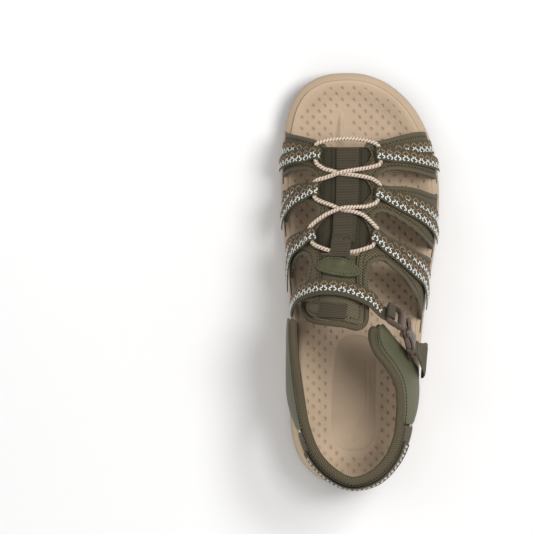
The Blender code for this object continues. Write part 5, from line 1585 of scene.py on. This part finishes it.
def build_anchor():
    bar, turn = SOCKET_END - SOCKET_BAR / 2, ANCHOR_TURN
    bend = np.linspace(0, math.pi, 18)
    behind = on_buckle([(bar + s, 0, -turn) for s in (3.0, 2.3, 1.5)])
    fold = on_buckle(np.column_stack([bar - turn * np.sin(bend), 0 * bend, -turn * np.cos(bend)]))
    front = on_buckle([(bar + s, 0, turn) for s in (1.5, 2.8, 4.0)])
    down = smooth_path(np.vstack([front[-1:], ANCHOR_ROUTE]), 60)[1:]
    centres = np.vstack([behind, fold, front, down])
    way = directions(centres)
    start = len(behind) + len(fold) + len(front)
    t = np.clip((np.arange(len(centres)) - start) / (len(centres) - start - 1), 0, 1)[:, None]
    side = BUCKLE_ACROSS * (1 - t) + unit((0.1, 1.0, 0.0)) * t
    across = unit(side - way * np.sum(way * side, 1, keepdims=True))
    up = unit(np.cross(way, across))
    strip = Strip(centres, across, up)
    s = np.linspace(0, strip.along[-1], int(strip.along[-1] / WEBBING_STEP))
    centre, across, up = strip.at(s)
    spread = np.interp(s, strip.along, t.ravel()) ** ANCHOR_SPREAD
    across = across * (1 + (ANCHOR_FLARE - 1) * spread)[:, None]
    profile = ribbed_profile(ANCHOR_WIDTH, ANCHOR_THICKNESS, 24, s, 0.2)
    piece = tube("buckle_anchor_visual", centre, across, up, profile, "anchor")
    place(piece, "sandal", "webbing_grosgrain", "buckle_anchor")


# ---- Heel collar

def collar_panel(name, span, drops, layer, look, slot, *nodes, crown=0.0, edge=0.9):
    """A panel of the collar with rounded edges, crowned in its middle."""
    rows = max(8, int((span[1] - span[0]) * 9))
    columns = max(8, int((drops[1] - drops[0]) * 34))
    k, d = np.meshgrid(np.linspace(*span, rows), np.linspace(*drops, columns), indexing="ij")
    gap = np.minimum(np.minimum(k - span[0], span[1] - k) * SPAN_LENGTH,
                     np.minimum(d - drops[0], drops[1] - d) * DROP_LENGTH)
    middle, half = sum(layer) / 2, (layer[1] - layer[0]) / 2
    body = half * edge_curve(gap / edge, 0.96)
    top = collar(k, d, middle + body + crown * smooth_step(0, 9, gap))
    low = collar(k, d, middle - body)
    surface = np.column_stack([k.ravel() * SPAN_LENGTH, d.ravel() * DROP_LENGTH])
    piece = plate(name, top, low, rows, columns, look, surface)
    return place(piece, "sandal", slot, *nodes)


def build_collar_panels():
    whole = (0.0, 1.0)
    panels = (("lateral_heel_wing", LATERAL_WING, "wing", 0.5),
              ("medial_heel_wing", MEDIAL_WING, "wing", 0.5), ("heel_sling", HEEL_SLING, "quarter", 0.2))
    for name, span, look, crown in panels:
        collar_panel(name + "_visual", span, whole, SHELL_LAYER, look, "wing_fabric", name, crown=crown)
    lining = collar_panel("collar_lining_visual", (0.0, 17.0), whole, LINING_LAYER,
                          "lining", "binding_knit", "collar_lining")


def build_heel_ribbon():
    k = np.linspace(*HEEL_RIBBON, 160)
    d = np.full(len(k), sum(RIBBON_DROPS) / 2)
    middle = sum(SLING_RIBBON_LAYER) / 2
    centres, normals = collar(k, d, middle), collar_normal(k, d)
    across, up = framed(centres, normals)
    across = turned_to(across, 80, (0, 0, 1))
    up = np.where(np.sum(up * normals, 1, keepdims=True) < 0, -up, up)
    strip = Strip(centres, across, up)
    figures = [(1.0, strip.along[-1] - 1.0, HEEL_FIGURES)]
    thickness = SLING_RIBBON_LAYER[1] - SLING_RIBBON_LAYER[0]
    piece = ribbon("heel_ribbon_visual", strip, HEEL_RIBBON_WIDTH, thickness, figures)
    place(piece, "sandal", "ribbon_weave", "heel_ribbon")


def build_collar_binding():
    rise = BINDING_HEIGHT / 2 / math.cos(math.pi / 8) + 2 * GAP
    k = np.linspace(0.0, 17.0, 300)
    centres = collar(k, 0.0) + unit(collar(k, 0.0) - collar(k, 0.1)) * rise
    normals = collar_normal(k, 0.0)
    fine = int(distances(centres)[-1] / 0.3)
    normals = resampled(centres, fine, normals)
    centres = resampled(centres, fine)
    way = directions(centres)
    across = unit(normals - way * np.sum(way * normals, 1, keepdims=True))
    up = unit(np.cross(across, way))
    roll = ribbed_roll(centres, 5.3, 5.8, 1.35, 0.22)
    piece = tube("collar_binding_visual", centres, across, up, roll, "binding", domed=5)
    place(piece, "sandal", "binding_knit", "collar_binding")
    k = np.linspace(0.1, 16.9, 400)
    rows = [(collar(k, 0.045, SHELL_LAYER[1] + 0.25), collar_normal(k, 0.045))]
    stitches("collar_stitches", rows, "binding_knit", 1.7, 0.5, 0.8, 0.6)
    rows = []
    for span in (LATERAL_WING, MEDIAL_WING):
        k = np.linspace(span[0] + 0.2, span[1] - 0.2, 200)
        rows.append((collar(k, 0.94, SHELL_LAYER[1] + 0.1), collar_normal(k, 0.94)))
    stitches("wing_stitches", rows, "wing_fabric", 1.4, 1.0)


# ---- The whole sandal

build_camera()
build_studio()
build_sole()
build_quarter("lateral_quarter", LATERAL, 1)
build_quarter("medial_quarter", MEDIAL, -1)
build_gore()
for loop_name, loop_spec in LOOPS.items():
    build_loop(loop_name, loop_spec)
build_cord()
build_webbing()
build_label()
build_tongue()
build_tab()
build_ankle_strap()
build_buckle()
build_anchor()
build_collar_panels()
build_heel_ribbon()
build_collar_binding()
